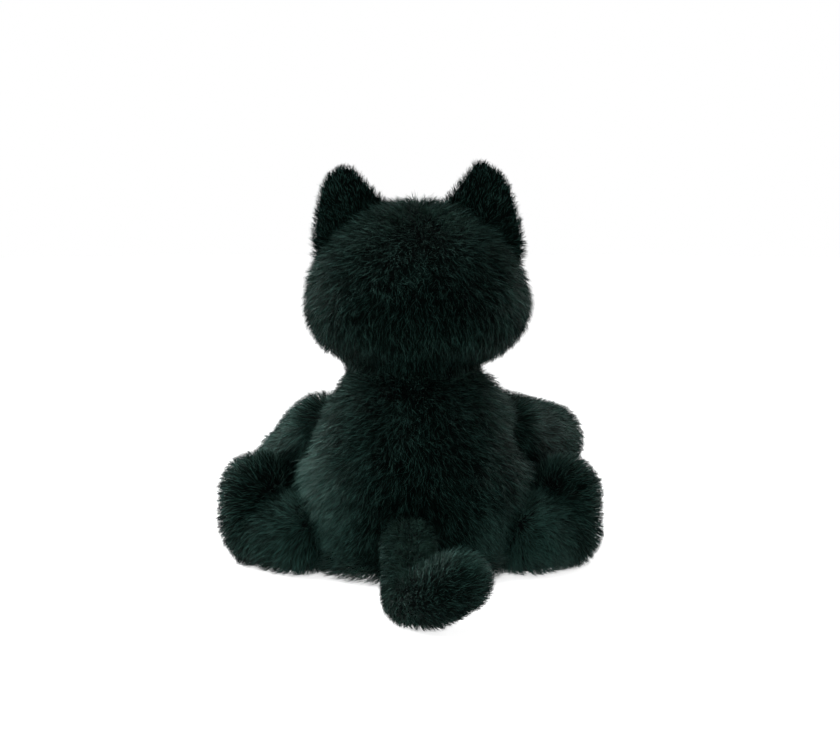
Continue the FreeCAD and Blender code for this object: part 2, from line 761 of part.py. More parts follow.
def make_head():
    """Face and back panels, stuffing, eyes, nose, mouth and ears."""
    ear_rooms = [make_ear(side) for side in SIDES]
    seats = []
    washer_rooms = []
    for name, kind in (("left_eye", "eye"), ("right_eye", "eye"), ("nose", "nose")):
        seat, washer_room = make_button(name, kind)
        seats.append(seat)
        washer_rooms.append(washer_room)
    make_mouth()

    room = fuse("head_room", [plug_room()] + ear_rooms + seats)
    shell = cut("head_shell", head_form("head_skin", SKIN), head_form("head_lining", LINING))
    open_shell = cut("head_shell_open", shell, room)
    seam_y = size("head_y")
    behind = block("head_back_side", (-FAR, seam_y, -FAR), (FAR, FAR, FAR))
    before = block("head_face_side", (-FAR, -FAR, -FAR), (FAR, seam_y, FAR))
    finish_part(keep_inside("head_back_panel", open_shell, behind), "head_back_panel")
    finish_part(keep_inside("face_panel", open_shell, before), "face_panel")
    core_room = fuse("head_core_room", [room] + washer_rooms)
    finish_part(cut("head_core_cut", head_form("head_core", CORE), core_room), "head_stuffing")


# Limbs


def ground_box(name, place, inset):
    """All that lies under the ground, raised by the inset, seen from a limb's own frame."""
    box = block(name, (-FAR, -FAR, -FAR), (FAR, FAR, inset_number(inset)))
    box.Placement = place.inverse().multiply(box.Placement)
    return box


def make_arm(side):
    place = limb_place(side, "arm")
    forms = {
        inset: sausage(f"{side}_arm_{name}", *limb_sizes(side, "arm"), inset)
        for name, inset in (("skin", SKIN), ("lining", LINING), ("core", CORE))
    }
    finish_part(cut(f"{side}_arm_cover", forms[SKIN], forms[LINING]), f"{side}_arm_cover", place)
    finish_part(forms[CORE], f"{side}_arm_stuffing", place)


def leg_form(name, side, inset, place):
    """A leg lying on the ground with its foot standing up at the end, trimmed at the ground."""
    shin = sausage(f"{name}_shin", *limb_sizes(side, "leg"), inset)
    foot = sausage(f"{name}_foot", "heel_radius", "toe_radius", "foot_rise", inset)
    foot.Placement = Placement(Vector(size(f"{side}_leg_reach"), 0, 0), Rotation(Vector(0, 1, 0), -90))
    joined = fuse(f"{name}_joined", [shin, foot])
    return cut(f"{name}_trimmed", joined, ground_box(f"{name}_ground", place, inset))


def make_leg(side):
    place = limb_place(side, "leg")
    skin = leg_form(f"{side}_leg_skin", side, SKIN, place)
    lining = leg_form(f"{side}_leg_lining", side, LINING, place)
    core = leg_form(f"{side}_leg_core", side, CORE, place)
    sole = size(f"{side}_leg_reach") + size("sole_reach")
    cloth = size("sole_cloth")
    pad_slab = block(f"{side}_sole_slab", (sole - cloth, -FAR, -FAR), (sole, FAR, FAR))
    pad_room = block(f"{side}_sole_room", (sole - cloth, -FAR, -FAR), (FAR, FAR, FAR))
    shell = cut(f"{side}_leg_shell", skin, lining)
    finish_part(cut(f"{side}_leg_cover", shell, pad_room), f"{side}_leg_cover", place)
    finish_part(keep_inside(f"{side}_sole_panel", skin, pad_slab), f"{side}_sole_panel", place)
    core_stop = sole - cloth - size("core_gap")
    core_end = block(f"{side}_core_end", (core_stop, -FAR, -FAR), (FAR, FAR, FAR))
    finish_part(cut(f"{side}_leg_stuffing", core, core_end), f"{side}_leg_stuffing", place)


def tail_form(name, inset, place):
    """Straight run, bend and round end in one sloping plane, trimmed at the ground."""
    radius = size("tail_radius") - inset_number(inset)
    run = size("tail_run")
    bend = size("tail_bend")
    body = new_body(name)
    spine = new_sketch(body, "XY_Plane", f"{name}_spine")
    straight = line(spine, (0, 0), (run, 0))
    curl = arc(spine, (run, bend), bend, -math.pi / 2, 0)
    last = line(spine, (run + bend, bend), (run + bend, bend + size("tail_end")))
    spine.addConstraint(Sketcher.Constraint("Coincident", straight, START, -1, 1))
    on_axis(spine, straight, END, H_AXIS)
    join(spine, straight, END, curl, START, "Tangent")
    join(spine, curl, END, last, START, "Tangent")
    spine.addConstraint(Sketcher.Constraint("Vertical", last))
    dimension(spine, "DistanceX", (straight, END), run, "run", "sizes.tail_run")
    dimension(spine, "Radius", (curl,), bend, "bend", "sizes.tail_bend")
    dimension(spine, "Distance", (last,), size("tail_end"), "end_run", "sizes.tail_end")
    ring = new_sketch(body, "YZ_Plane", f"{name}_ring")
    circle = ring.addGeometry(Part.Circle(Vector(), Vector(0, 0, 1), radius), False)
    ring.addConstraint(Sketcher.Constraint("Coincident", circle, CENTRE, -1, 1))
    dimension(ring, "Radius", (circle,), radius, "girth", f"sizes.tail_radius - ({inset})")
    pipe = body.newObject("PartDesign::AdditivePipe", f"{name}_pipe")
    pipe.Profile = ring
    pipe.Spine = spine
    body.Tip = pipe
    girth = f"sizes.tail_radius - ({inset})"
    root = ball(f"{name}_root", girth, (0, 0, 0))
    tip = ball(f"{name}_tip", girth, (run + bend, bend + size("tail_end"), 0))
    joined = fuse(f"{name}_joined", [body, root, tip])
    return cut(f"{name}_trimmed", joined, ground_box(f"{name}_ground", place, inset))


def make_tail():
    place = tail_place()
    skin = tail_form("tail_skin", SKIN, place)
    lining = tail_form("tail_lining", LINING, place)
    core = tail_form("tail_core", CORE, place)
    finish_part(cut("tail_cover", skin, lining), "tail_cover", place)
    finish_part(core, "tail_stuffing", place)


def check_document():
    """Stop if any object failed, or if a sub-part is not one valid closed solid."""
    failed = [item.Name for item in doc.Objects if "Invalid" in item.State or "Error" in item.State]
    if failed:
        raise SystemExit(f"failed objects: {failed}")
    for part in parts:
        shape = part.Shape
        if shape.isNull() or not shape.isValid() or len(shape.Solids) != 1:
            raise SystemExit(f"bad shape: {part.Label} solids {len(shape.Solids)} valid {shape.isValid()}")


make_torso()
make_neck()
make_head()
for side in SIDES:
    make_arm(side)
    make_leg(side)
make_tail()
doc.recompute()
check_document()

os.makedirs("parts", exist_ok=True)
for part in parts:
    part.Shape.exportStep(f"parts/{part.Label}.step")
    print(f"{part.Label:20s} {part.Shape.Volume:12.1f} mm3")
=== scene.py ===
import json
import math

import bmesh
import bpy
import numpy as np
from mathutils import Matrix, Vector
from mathutils.kdtree import KDTree


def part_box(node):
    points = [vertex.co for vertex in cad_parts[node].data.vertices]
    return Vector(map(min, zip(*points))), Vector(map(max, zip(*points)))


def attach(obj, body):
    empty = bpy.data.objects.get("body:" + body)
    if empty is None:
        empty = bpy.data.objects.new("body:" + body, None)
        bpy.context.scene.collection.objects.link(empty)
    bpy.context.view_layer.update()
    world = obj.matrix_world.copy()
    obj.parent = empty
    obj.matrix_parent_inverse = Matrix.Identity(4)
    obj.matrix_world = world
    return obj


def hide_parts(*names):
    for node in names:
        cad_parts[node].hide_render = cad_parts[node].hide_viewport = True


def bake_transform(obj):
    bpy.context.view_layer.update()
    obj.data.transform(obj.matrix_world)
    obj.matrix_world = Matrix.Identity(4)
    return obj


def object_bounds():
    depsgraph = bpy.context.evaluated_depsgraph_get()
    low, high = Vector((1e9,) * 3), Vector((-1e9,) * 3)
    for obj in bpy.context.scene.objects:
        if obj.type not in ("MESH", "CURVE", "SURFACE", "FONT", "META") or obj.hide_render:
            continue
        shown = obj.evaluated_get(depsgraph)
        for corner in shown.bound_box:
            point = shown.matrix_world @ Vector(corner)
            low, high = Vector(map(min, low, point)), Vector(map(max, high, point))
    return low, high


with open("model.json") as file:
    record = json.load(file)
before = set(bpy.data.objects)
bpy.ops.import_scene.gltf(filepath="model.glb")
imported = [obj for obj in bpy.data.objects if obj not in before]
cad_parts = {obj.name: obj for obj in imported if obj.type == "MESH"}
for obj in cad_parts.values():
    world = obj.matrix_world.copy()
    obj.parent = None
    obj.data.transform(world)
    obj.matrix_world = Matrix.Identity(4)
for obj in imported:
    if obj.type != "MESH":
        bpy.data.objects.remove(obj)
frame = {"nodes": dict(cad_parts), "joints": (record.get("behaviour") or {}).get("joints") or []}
solid_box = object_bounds()


# ---------------------------------------------------------------------------
# The studio: a white paper floor in a white room, with a large soft light on each side and one above.
# The camera stands behind the cat, about a metre away, and looks slightly down at it.

camera_data = bpy.data.cameras.new("camera")
camera_data.lens = 81.4
camera = bpy.data.objects.new("camera", camera_data)
camera.location = (-0.0035, 1.100, 0.2528)
camera.rotation_euler = (math.radians(83), 0, math.radians(180))
bpy.context.scene.collection.objects.link(camera)
bpy.context.scene.camera = camera
bpy.context.scene.view_settings.view_transform = "Standard"


def soft_light(name, place, aim, width, watts):
    lamp = bpy.data.lights.new(name, "AREA")
    lamp.shape = "DISK"
    lamp.size = width
    lamp.energy = watts
    stand = bpy.data.objects.new(name, lamp)
    stand.location = place
    stand.rotation_mode = "QUATERNION"
    stand.rotation_quaternion = (Vector(aim) - Vector(place)).to_track_quat("-Z", "Y")
    bpy.context.scene.collection.objects.link(stand)


cat_middle = (solid_box[0] + solid_box[1]) / 2
soft_light("window_side", (1.15, -0.20, 0.65), cat_middle, width=0.9, watts=17.0)
soft_light("far_side", (-1.15, -0.50, 0.60), cat_middle, width=0.7, watts=5.4)
soft_light("above", (0.15, 0.10, 1.45), cat_middle, width=0.9, watts=10.0)


def new_finish(name, settings):
    """A material with these settings of its shader, given back with its nodes, links and shader."""
    finish = bpy.data.materials.new(name)
    finish.use_nodes = True
    nodes, links = finish.node_tree.nodes, finish.node_tree.links
    body = nodes["Principled BSDF"]
    for setting, value in settings.items():
        body.inputs[setting].default_value = value
    return finish, nodes, links, body


def remapped(nodes, links, value, given, wanted):
    """A value taken from the given range to the wanted one."""
    level = nodes.new("ShaderNodeMapRange")
    for ends, (low, high) in (("From", given), ("To", wanted)):
        level.inputs[f"{ends} Min"].default_value = low
        level.inputs[f"{ends} Max"].default_value = high
    links.new(value, level.inputs["Value"])
    return level.outputs["Result"]


def paper_strength(nodes, links, lit, shown):
    """How strong the paper is: shown where a ray shows the paper itself, lit where it gives light."""
    path = nodes.new("ShaderNodeLightPath")
    showing = path.outputs["Is Camera Ray"]
    for ray in ("Is Glossy Ray", "Is Transmission Ray"):
        either = nodes.new("ShaderNodeMath")
        either.operation = "MAXIMUM"
        links.new(showing, either.inputs[0])
        links.new(path.outputs[ray], either.inputs[1])
        showing = either.outputs[0]
    return remapped(nodes, links, showing, (0.0, 1.0), (lit, shown))


def light_the_room():
    world = bpy.data.worlds.new("studio")
    world.use_nodes = True
    nodes, links = world.node_tree.nodes, world.node_tree.links
    room = nodes["Background"]
    room.inputs["Color"].default_value = (1.0, 1.0, 1.0, 1.0)
    links.new(paper_strength(nodes, links, lit=0.20, shown=1.0), room.inputs["Strength"])
    bpy.context.scene.world = world


def paper_floor():
    bpy.ops.mesh.primitive_circle_add(vertices=96, radius=3.0, fill_type="NGON", location=(0, 0, 0))
    floor = bpy.context.object
    floor.name = "paper_floor"
    matt_white = {"Base Color": (0.86, 0.86, 0.86, 1), "Roughness": 0.9, "Specular IOR Level": 0.1}
    paper, nodes, links, body = new_finish("studio_paper", matt_white)
    shown = nodes.new("ShaderNodeEmission")
    shown.inputs["Color"].default_value = (1, 1, 1, 1)
    links.new(paper_strength(nodes, links, lit=0.0, shown=0.84), shown.inputs["Strength"])
    both = nodes.new("ShaderNodeAddShader")
    links.new(body.outputs[0], both.inputs[0])
    links.new(shown.outputs[0], both.inputs[1])
    links.new(both.outputs[0], nodes["Material Output"].inputs["Surface"])
    floor.data.materials.append(paper)


light_the_room()
paper_floor()


# ---------------------------------------------------------------------------
# The torso cover: a pear of knitted backing cloth with long glossy pile, cut as back, belly and
# seat panels that are sewn together inside out, turned and stuffed. The pile hides the seams.

PILE_ROOT = 0.003       # the backing lies this far under the middle of the pile's outer face
PILE_LENGTH = 0.0092
FLOOR_CLEAR = 0.0004
TORSO_DEPTH = 0.94      # front to back, as a share of the width


def turned(cloth, profile, place=Matrix(), stretch=(1.0, 1.0, 1.0), steps=72):
    """Adds a form turned about its own Z axis to the cloth. The profile runs from pole to pole."""
    angles = np.linspace(0, 2 * math.pi, steps, endpoint=False)

    def point(radius, level, a):
        spot = (radius * math.cos(a) * stretch[0], radius * math.sin(a) * stretch[1], level * stretch[2])
        return cloth.verts.new(place @ Vector(spot))

    rings = [[point(radius, level, a) for a in angles] for radius, level in profile[1:-1]]
    foot, top = (point(0.0, profile[end][1], 0.0) for end in (0, -1))
    for a in range(steps):
        b = (a + 1) % steps
        cloth.faces.new((foot, rings[0][b], rings[0][a]))
        cloth.faces.new((top, rings[-1][a], rings[-1][b]))
        for low, high in zip(rings, rings[1:]):
            cloth.faces.new((low[a], low[b], high[b], high[a]))


def circle_run(centre, radius, start, end, count):
    """Points along an arc, as (radius, level) pairs."""
    return [
        (centre[0] + radius * math.cos(a), centre[1] + radius * math.sin(a))
        for a in np.linspace(start, end, count)
    ]


def stuffed_skin(name, cloth, voxel, soften):
    """One closed skin from forms that overlap, with the creases between them eased by the stuffing."""
    mesh = bpy.data.meshes.new(name)
    bmesh.ops.recalc_face_normals(cloth, faces=cloth.faces)
    cloth.to_mesh(mesh)
    cloth.free()
    skin = bpy.data.objects.new(name, mesh)
    bpy.context.scene.collection.objects.link(skin)
    knit = skin.modifiers.new("one_cloth", "REMESH")
    knit.mode = "VOXEL"
    knit.voxel_size = voxel
    knit.use_smooth_shade = True
    ease = skin.modifiers.new("eased", "SMOOTH")
    ease.factor = 0.5
    ease.iterations = soften
    bpy.context.view_layer.update()
    graph = bpy.context.evaluated_depsgraph_get()
    final = bpy.data.meshes.new_from_object(skin.evaluated_get(graph))
    skin.modifiers.clear()
    skin.data = final
    return skin


def fine_grain(nodes, links, scale, detail):
    """Fine noise that stays with the piece, as a value from 0 to 1."""
    place = nodes.new("ShaderNodeTexCoord")
    grain = nodes.new("ShaderNodeTexNoise")
    grain.inputs["Scale"].default_value = scale
    grain.inputs["Detail"].default_value = detail
    links.new(place.outputs["Object"], grain.inputs["Vector"])
    return grain.outputs["Fac"]


def add_relief(nodes, links, body, height, strength, depth):
    """Fine relief on a finish, from the height that one of its textures gives."""
    relief = nodes.new("ShaderNodeBump")
    relief.inputs["Strength"].default_value = strength
    relief.inputs["Distance"].default_value = depth
    links.new(height, relief.inputs["Height"])
    links.new(relief.outputs["Normal"], body.inputs["Normal"])


def grainy_finish(name, dark, light, spread, scale, detail, strength, depth, settings):
    """Two tones broken up by fine grain, with a little relief. Spread is where the tones begin."""
    finish, nodes, links, body = new_finish(name, settings)
    grain = fine_grain(nodes, links, scale, detail)
    colour = nodes.new("ShaderNodeValToRGB")
    for stop, position, tone in zip(colour.color_ramp.elements, spread, (dark, light)):
        stop.position = position
        stop.color = (*tone, 1)
    links.new(grain, colour.inputs["Fac"])
    links.new(colour.outputs["Color"], body.inputs["Base Color"])
    add_relief(nodes, links, body, grain, strength, depth)
    return finish


STRAND_FOOT, STRAND_TIP = 0.02, 0.16    # where a strand's foot and tip lie on its shade chart
STRAND_EDGE = 0.0012                    # how far its edges lie from its middle there


def pile_fibre(name, root, middle, light, gloss, sheen):
    """Fibres of one pile: darker at the foot with painted shade, lighter towards the tip, each strand its
    own shade.

    Along its width the shade chart runs from the darkest strands to the lightest, which are the
    shiniest too, and along its height from foot to tip.
    """
    fibre, nodes, links, body = new_finish(name, {
        "Roughness": gloss,
        "Specular Tint": (0.34, 0.85, 0.68, 1),
        "Sheen Weight": sheen,
        "Sheen Roughness": 0.30,
        "Sheen Tint": (0.42, 0.92, 0.74, 1),
    })
    chart = nodes.new("ShaderNodeUVMap")
    chart.uv_map = "OFBake"
    parts = nodes.new("ShaderNodeSeparateXYZ")
    links.new(chart.outputs["UV"], parts.inputs["Vector"])
    shade = nodes.new("ShaderNodeValToRGB")
    shade.color_ramp.elements[0].position = 0.05
    shade.color_ramp.elements[0].color = (*root, 1)
    shade.color_ramp.elements[1].position = 0.95
    shade.color_ramp.elements[1].color = (*light, 1)
    between = shade.color_ramp.elements.new(0.45)
    between.color = (*middle, 1)
    links.new(parts.outputs["X"], shade.inputs["Fac"])
    shine = remapped(nodes, links, parts.outputs["X"], (0.35, 0.85), (0.03, 0.36))
    links.new(shine, body.inputs["Specular IOR Level"])
    # Painted shade: each strand's colour darkens towards its foot, deep in the pile.
    climb = remapped(nodes, links, parts.outputs["Y"], (STRAND_FOOT, STRAND_TIP), (0.25, 1.4))
    painted_root_shade = nodes.new("ShaderNodeMath")
    painted_root_shade.operation = "POWER"
    painted_root_shade.inputs[1].default_value = 1.9
    links.new(climb, painted_root_shade.inputs[0])
    root_shaded_colour = nodes.new("ShaderNodeVectorMath")
    root_shaded_colour.operation = "SCALE"
    links.new(shade.outputs["Color"], root_shaded_colour.inputs[0])
    links.new(painted_root_shade.outputs[0], root_shaded_colour.inputs["Scale"])
    links.new(root_shaded_colour.outputs["Vector"], body.inputs["Base Color"])
    return fibre


knitted_backing = grainy_finish(
    "pile_backing", dark=(0.0006, 0.0014, 0.0013), light=(0.0030, 0.0075, 0.0066), spread=(0.35, 0.75),
    scale=900.0, detail=3.0, strength=0.6, depth=0.0006,
    settings={"Roughness": 0.9, "Specular IOR Level": 0.1},
)
long_fibre = pile_fibre(
    "long_pile_fibre", root=(0.0002, 0.0010, 0.0008), middle=(0.0010, 0.0048, 0.0040),
    light=(0.024, 0.064, 0.055), gloss=0.45, sheen=0.17,
)


def unit(vectors):
    return vectors / np.maximum(np.linalg.norm(vectors, axis=1, keepdims=True), 1e-9)


def laid_along(vectors, out):
    """Vectors without the part that points out of the skin."""
    return vectors - out * np.sum(vectors * out, axis=1, keepdims=True)


def swung(vectors, axes, angles):
    """Vectors square to their axes, each swung about its axis by its own angle."""
    return vectors * np.cos(angles)[:, None] + np.cross(axes, vectors) * np.sin(angles)[:, None]


def rising(value, start, run):
    """0 up to the start, 1 a run past it."""
    return np.clip((value - start) / run, 0, 1)


def falling(value, end, run):
    """1 down to a run before the end, 0 past the end."""
    return np.clip((end - value) / run, 0, 1)


def wander(points, wavelength, seed):
    """A smooth random value from about -1 to 1 that changes over the given distance."""
    rng = np.random.default_rng(seed)
    total = np.zeros(len(points))
    for _ in range(9):
        wave = unit(rng.normal(size=(1, 3)))[0] * 2 * math.pi / wavelength * rng.uniform(0.6, 1.6)
        total += np.sin(points @ wave + rng.uniform(0, 2 * math.pi))
    return total / 3.0


def tuft_luck(tufts, seed):
    """A fixed random value from 0 to 1 for each tuft."""
    mixed = np.sin(tufts @ np.array([12.9898, 78.233, 37.719]) + seed * 4.137) * 43758.5453
    return mixed - np.floor(mixed)


def at_each(value, places):
    """A value at each place, where it may be a function of the place or one number for all."""
    return value(places) if callable(value) else np.full(len(places), value)


def threes(items, field, kind=float):
    """One field of all the items of a mesh, which has three values for each."""
    values = np.zeros(len(items) * 3, kind)
    items.foreach_get(field, values)
    return values.reshape(-1, 3)


def scatter(skin, count, rng):
    """Random places on a skin, evenly spread, with their normals."""
    mesh = skin.data
    mesh.calc_loop_triangles()
    corners = threes(mesh.loop_triangles, "vertices", np.int32)
    places = threes(mesh.vertices, "co")
    normals = threes(mesh.vertices, "normal")
    a, b, c = (places[corners[:, k]] for k in range(3))
    areas = np.linalg.norm(np.cross(b - a, c - a), axis=1)
    chosen = rng.choice(len(corners), count, p=areas / areas.sum())
    u, v = rng.random(count), rng.random(count)
    fold = u + v > 1
    u[fold], v[fold] = 1 - u[fold], 1 - v[fold]
    shares = np.stack([1 - u - v, u, v], axis=1)
    at = sum(places[corners[chosen, k]] * shares[:, k, None] for k in range(3))
    out = unit(sum(normals[corners[chosen, k]] * shares[:, k, None] for k in range(3)))
    return at, out


# A strand is a blade of three stretches: two with four sides, and a tip with three.
BLADE_RUNS = (0.36, 0.34, 0.30)             # each stretch, as a share of the blade's length
BLADE_CLIMB = (0.0, 0.36, 0.70, 1.0)        # how far up the blade each stretch starts and ends
BLADE_WIDTHS = (1.0, 0.95, 0.62)            # the width where each stretch starts
BLADE_POINTS, BLADE_CORNERS = 7, 11
SET_IN = 0.0006                             # how deep its foot is set in the backing
BRIGHT_SHARE, BRIGHTER, DULLER = 0.26, 0.49, 0.17


def blade_mesh(name, lines, sides, seen, tone):
    """All the blades of a pile as one mesh, from their middle lines and half widths.

    Seen is the normal that a blade is lit by, and tone its place on the shade chart.
    """
    count = len(tone)
    verts = np.empty((count, BLADE_POINTS, 3))
    for step in range(3):
        verts[:, 2 * step] = lines[step] - sides[step]
        verts[:, 2 * step + 1] = lines[step] + sides[step]
    verts[:, 6] = lines[3]
    verts[:, :, 2] = np.maximum(verts[:, :, 2], FLOOR_CLEAR * 0.5)
    first = np.arange(count)[:, None] * BLADE_POINTS
    loops = (first + np.array([[0, 1, 3, 2, 2, 3, 5, 4, 4, 5, 6]])).reshape(-1)
    starts = (np.arange(count)[:, None] * BLADE_CORNERS + np.array([[0, 4, 8]])).reshape(-1)

    mesh = bpy.data.meshes.new(name)
    mesh.vertices.add(count * BLADE_POINTS)
    mesh.vertices.foreach_set("co", verts.reshape(-1).astype(np.float32))
    mesh.loops.add(len(loops))
    mesh.loops.foreach_set("vertex_index", loops.astype(np.int32))
    mesh.polygons.add(len(starts))
    mesh.polygons.foreach_set("loop_start", starts.astype(np.int32))
    mesh.update(calc_edges=True)
    mesh.polygons.foreach_set("use_smooth", np.ones(len(starts), bool))
    mesh.normals_split_custom_set_from_vertices(np.repeat(seen, BLADE_POINTS, axis=0).tolist())

    climb = STRAND_FOOT + (STRAND_TIP - STRAND_FOOT) * np.array(BLADE_CLIMB)
    chart = mesh.uv_layers.new(name="OFBake")
    uv = np.empty((count, BLADE_CORNERS, 2))
    uv[:, :, 0] = tone[:, None] + np.array([-1, 1, 1, -1, -1, 1, 1, -1, -1, 1, 0]) * STRAND_EDGE
    uv[:, :, 1] = climb[[0, 0, 1, 1, 1, 1, 2, 2, 2, 2, 3]]
    chart.data.foreach_set("uv", uv.reshape(-1).astype(np.float32))
    return mesh


def grow_pile(name, skin, density, flow, length, fibre, seed, keep, lift=(64, 24), width=0.00032,
              fall=0.06, tuft=0.0030, shade=0.42, comb=1.0):
    """Strands of pile on a skin, as tapered blades. The density is in strands per square centimetre.

    The flow gives the way the pile is brushed at each place, keep the share of strands that grow
    there, lift their slope in degrees at foot and tip, fall how much they hang, tuft the size of
    the tufts that they lie in, shade their mean tone, which on some pieces holds painted light and
    shade, and comb how much their lie wanders.
    """
    rng = np.random.default_rng(seed)
    area = sum(p.area for p in skin.data.polygons)
    root, out = scatter(skin, int(area * 1e4 * density), rng)
    kept = rng.random(len(root)) < keep(root, out)
    root, out = root[kept], out[kept]
    count = len(root)
    brushed = unit(laid_along(flow(root, out), out))

    # The lie and the slope sway over the skin, and differ from tuft to tuft and strand to strand.
    # The strands of one tuft gather a little towards its middle.
    ragged = np.stack([wander(root, 0.009, seed + k) for k in (21, 22, 23)], axis=1)
    tufts = np.floor(root / tuft + 0.35 * ragged)
    turn = comb * (0.30 * wander(root, 0.026, seed + 1) + 0.20 * wander(root, 0.007, seed + 2))
    turn += 0.38 * (tuft_luck(tufts, seed) - 0.5) + rng.normal(0, 0.40, count)
    brushed = swung(brushed, out, turn)
    reach = at_each(length, root) * rng.normal(1.0, 0.11, count).clip(0.55, 1.35)
    slope = comb * (9.0 * wander(root, 0.025, seed + 3) + 5.0 * wander(root, 0.008, seed + 4))
    slope += 12.0 * (tuft_luck(tufts, seed + 5) - 0.5) + rng.normal(0, 10.0, count)
    curl = rng.normal(0, 0.25, count)
    gather = laid_along(((tufts + 0.5) * tuft - root) * 0.06, out)

    lines = [root - out * SET_IN]
    headings = []
    for step, run in enumerate(BLADE_RUNS):
        part = (step + 0.5) / len(BLADE_RUNS)
        rise = np.radians((lift[0] + (lift[1] - lift[0]) * part + slope).clip(4, 90))
        way = swung(brushed, out, curl * part)
        heading = way * np.cos(rise)[:, None] + out * np.sin(rise)[:, None]
        heading[:, 2] -= fall * part
        headings.append(unit(heading))
        lines.append(lines[-1] + headings[-1] * (reach * run)[:, None] + gather * run)
    low_limit = FLOOR_CLEAR + 0.0012 * rng.random(count)    # what the ground stops lies on it
    for line in lines:
        line[:, 2] = np.maximum(line[:, 2], low_limit)

    tone = at_each(shade, root) + 0.10 * rng.normal(size=count)
    tone += 0.09 * wander(root, 0.035, seed + 9) + 0.10 * (tuft_luck(tufts, seed + 11) - 0.5)
    bright = rng.random(count) < BRIGHT_SHARE
    tone = np.where(bright, tone + BRIGHTER, tone - DULLER).clip(0.04, 0.96)
    roll = rng.normal(0, 0.9, count)
    girth = width * rng.uniform(0.7, 1.2, count) * np.where(bright, 0.75, 1.05)
    sides, faces = [], []
    for heading, share in zip(headings, BLADE_WIDTHS):
        edge = swung(unit(np.cross(heading, out)), heading, roll)
        face = np.cross(edge, heading)
        inward = np.where(np.sum(face * out, axis=1) < 0, -1.0, 1.0)[:, None]
        faces.append(face * inward)
        sides.append(edge * inward * (girth * share / 2)[:, None])
    seen = unit(out * 0.8 + sum(faces) / 3 * 0.45)      # lit more as a part of the skin than alone

    pile = bpy.data.objects.new(name, blade_mesh(name, lines, sides, seen, tone))
    bpy.context.scene.collection.objects.link(pile)
    pile.data.materials.append(fibre)
    return pile


def torso_outline(under):
    """The pear's outline at a depth under the pile's outer face: flat seat, round corner, long flank."""
    seat, corner_level, top = 0.033, 0.0297, 0.116
    corner = 0.030 - under
    flank = 0.125 - under
    collar = 0.036 - under
    chord = Vector((collar - seat, top - corner_level))
    along = ((flank - corner) ** 2 - flank**2 + chord.length**2) / (2 * chord.length)
    across = math.sqrt((flank - corner) ** 2 - along**2)
    way = chord.normalized()
    centre = (seat + along * way.x - across * way.y, corner_level + along * way.y + across * way.x)
    touch = math.atan2(corner_level - centre[1], seat - centre[0])
    collar_angle = math.atan2(top - centre[1], collar - centre[0])
    rounded = circle_run((seat, corner_level), corner, -math.pi / 2, touch, 16)
    side = circle_run(centre, flank, touch, collar_angle, 26)[1:]
    lid = top + 0.001
    return [(0, under), (seat * 0.6, under)] + rounded + side + [(collar * 0.6, lid), (0, lid)]


cloth = bmesh.new()
turned(cloth, torso_outline(PILE_ROOT), stretch=(1.0, TORSO_DEPTH, 1.0))
torso_cover = stuffed_skin("torso_cover", cloth, voxel=0.0022, soften=4)
torso_cover.data.materials.append(knitted_backing)
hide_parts("back_panel", "belly_panel", "seat_panel")
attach(torso_cover, "torso")


def hinge_place(name):
    return Vector(next(j for j in frame["joints"] if j["name"] == name)["pos_m"])


TAIL_BASE = hinge_place("tail_swing")


def from_tail_base(at):
    """How far each place is from the middle of the tail's root, as seen from behind."""
    return np.hypot(at[:, 0] - TAIL_BASE.x, at[:, 2] - TAIL_BASE.z)


def sat_on(at, below, left):
    """The share of strands that shows under the cat, where its weight presses them into the cloth."""
    return np.where(at[:, 2] < below, left, 1.0)


def torso_flow(at, out):
    """Brushed down and away from the middle of the back, then flat out along the ground."""
    way = np.zeros_like(at)
    way[:, 0] = at[:, 0] / 0.040
    way[:, 1] = at[:, 1] / 0.07
    way[:, 2] = -0.8
    way[:, 2] *= np.clip((at[:, 2] - 0.004) / 0.02, 0.05, 1)
    return way


def on_the_back(at, out):
    """The back, apart from the patch that the tail is sewn on."""
    behind_tail = (from_tail_base(at) < 0.0125) & (at[:, 1] > 0.03)
    return (at[:, 1] >= 0) * sat_on(at, 0.006, 0.12) * np.where(behind_tail, 0.0, 1.0)


def on_the_belly(at, out):
    return (at[:, 1] < 0) * sat_on(at, 0.006, 0.12)


def torso_painted_light(at):
    """Painted shadow round the tail's root, and painted light at the nape and over the hips, reaching
    higher on the left and brighter on the right.
    """
    left = at[:, 0] > 0
    nape = rising(at[:, 2], 0.096, 0.020)
    painted_light_top = np.where(left, 0.096, 0.052)
    hips = rising(np.abs(at[:, 0]), 0.026, 0.020) * falling(at[:, 2], painted_light_top, 0.030)
    tail = falling(from_tail_base(at), 0.0247, 0.013) * (at[:, 1] > 0.03)
    return 0.42 + 0.10 * nape + np.where(left, 0.32, 0.44) * hips - 0.30 * tail


def torso_length(at):
    """Longer in the armpits, on the right shoulder and in the fringe on the ground behind."""
    wide = rising(np.abs(at[:, 0]), 0.044, 0.008)
    armpit = wide * falling(np.abs(at[:, 2] - 0.056), 0.0192, 0.012)
    shoulder = rising(-at[:, 0], 0.030, 0.008) * rising(at[:, 2], 0.086, 0.008)
    fringe = falling(at[:, 2], 0.018, 0.008) * (at[:, 1] > 0)
    return PILE_LENGTH + 0.0062 * armpit + 0.0065 * shoulder + 0.0055 * fringe


back_pile = grow_pile("back_pile", torso_cover, density=190, flow=torso_flow, length=torso_length,
                      fibre=long_fibre, seed=11, keep=on_the_back, shade=torso_painted_light)
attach(back_pile, "torso")
belly_pile = grow_pile("belly_pile", torso_cover, density=180, flow=torso_flow, length=torso_length,
                       fibre=long_fibre, seed=12, keep=on_the_belly, shade=torso_painted_light)
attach(belly_pile, "torso")


# ---------------------------------------------------------------------------
# The head cover: face panel and back panel of the same pile, sewn round the cheeks and crown, with
# a rounded muzzle in front and a short round neck that sits in the collar of the torso.

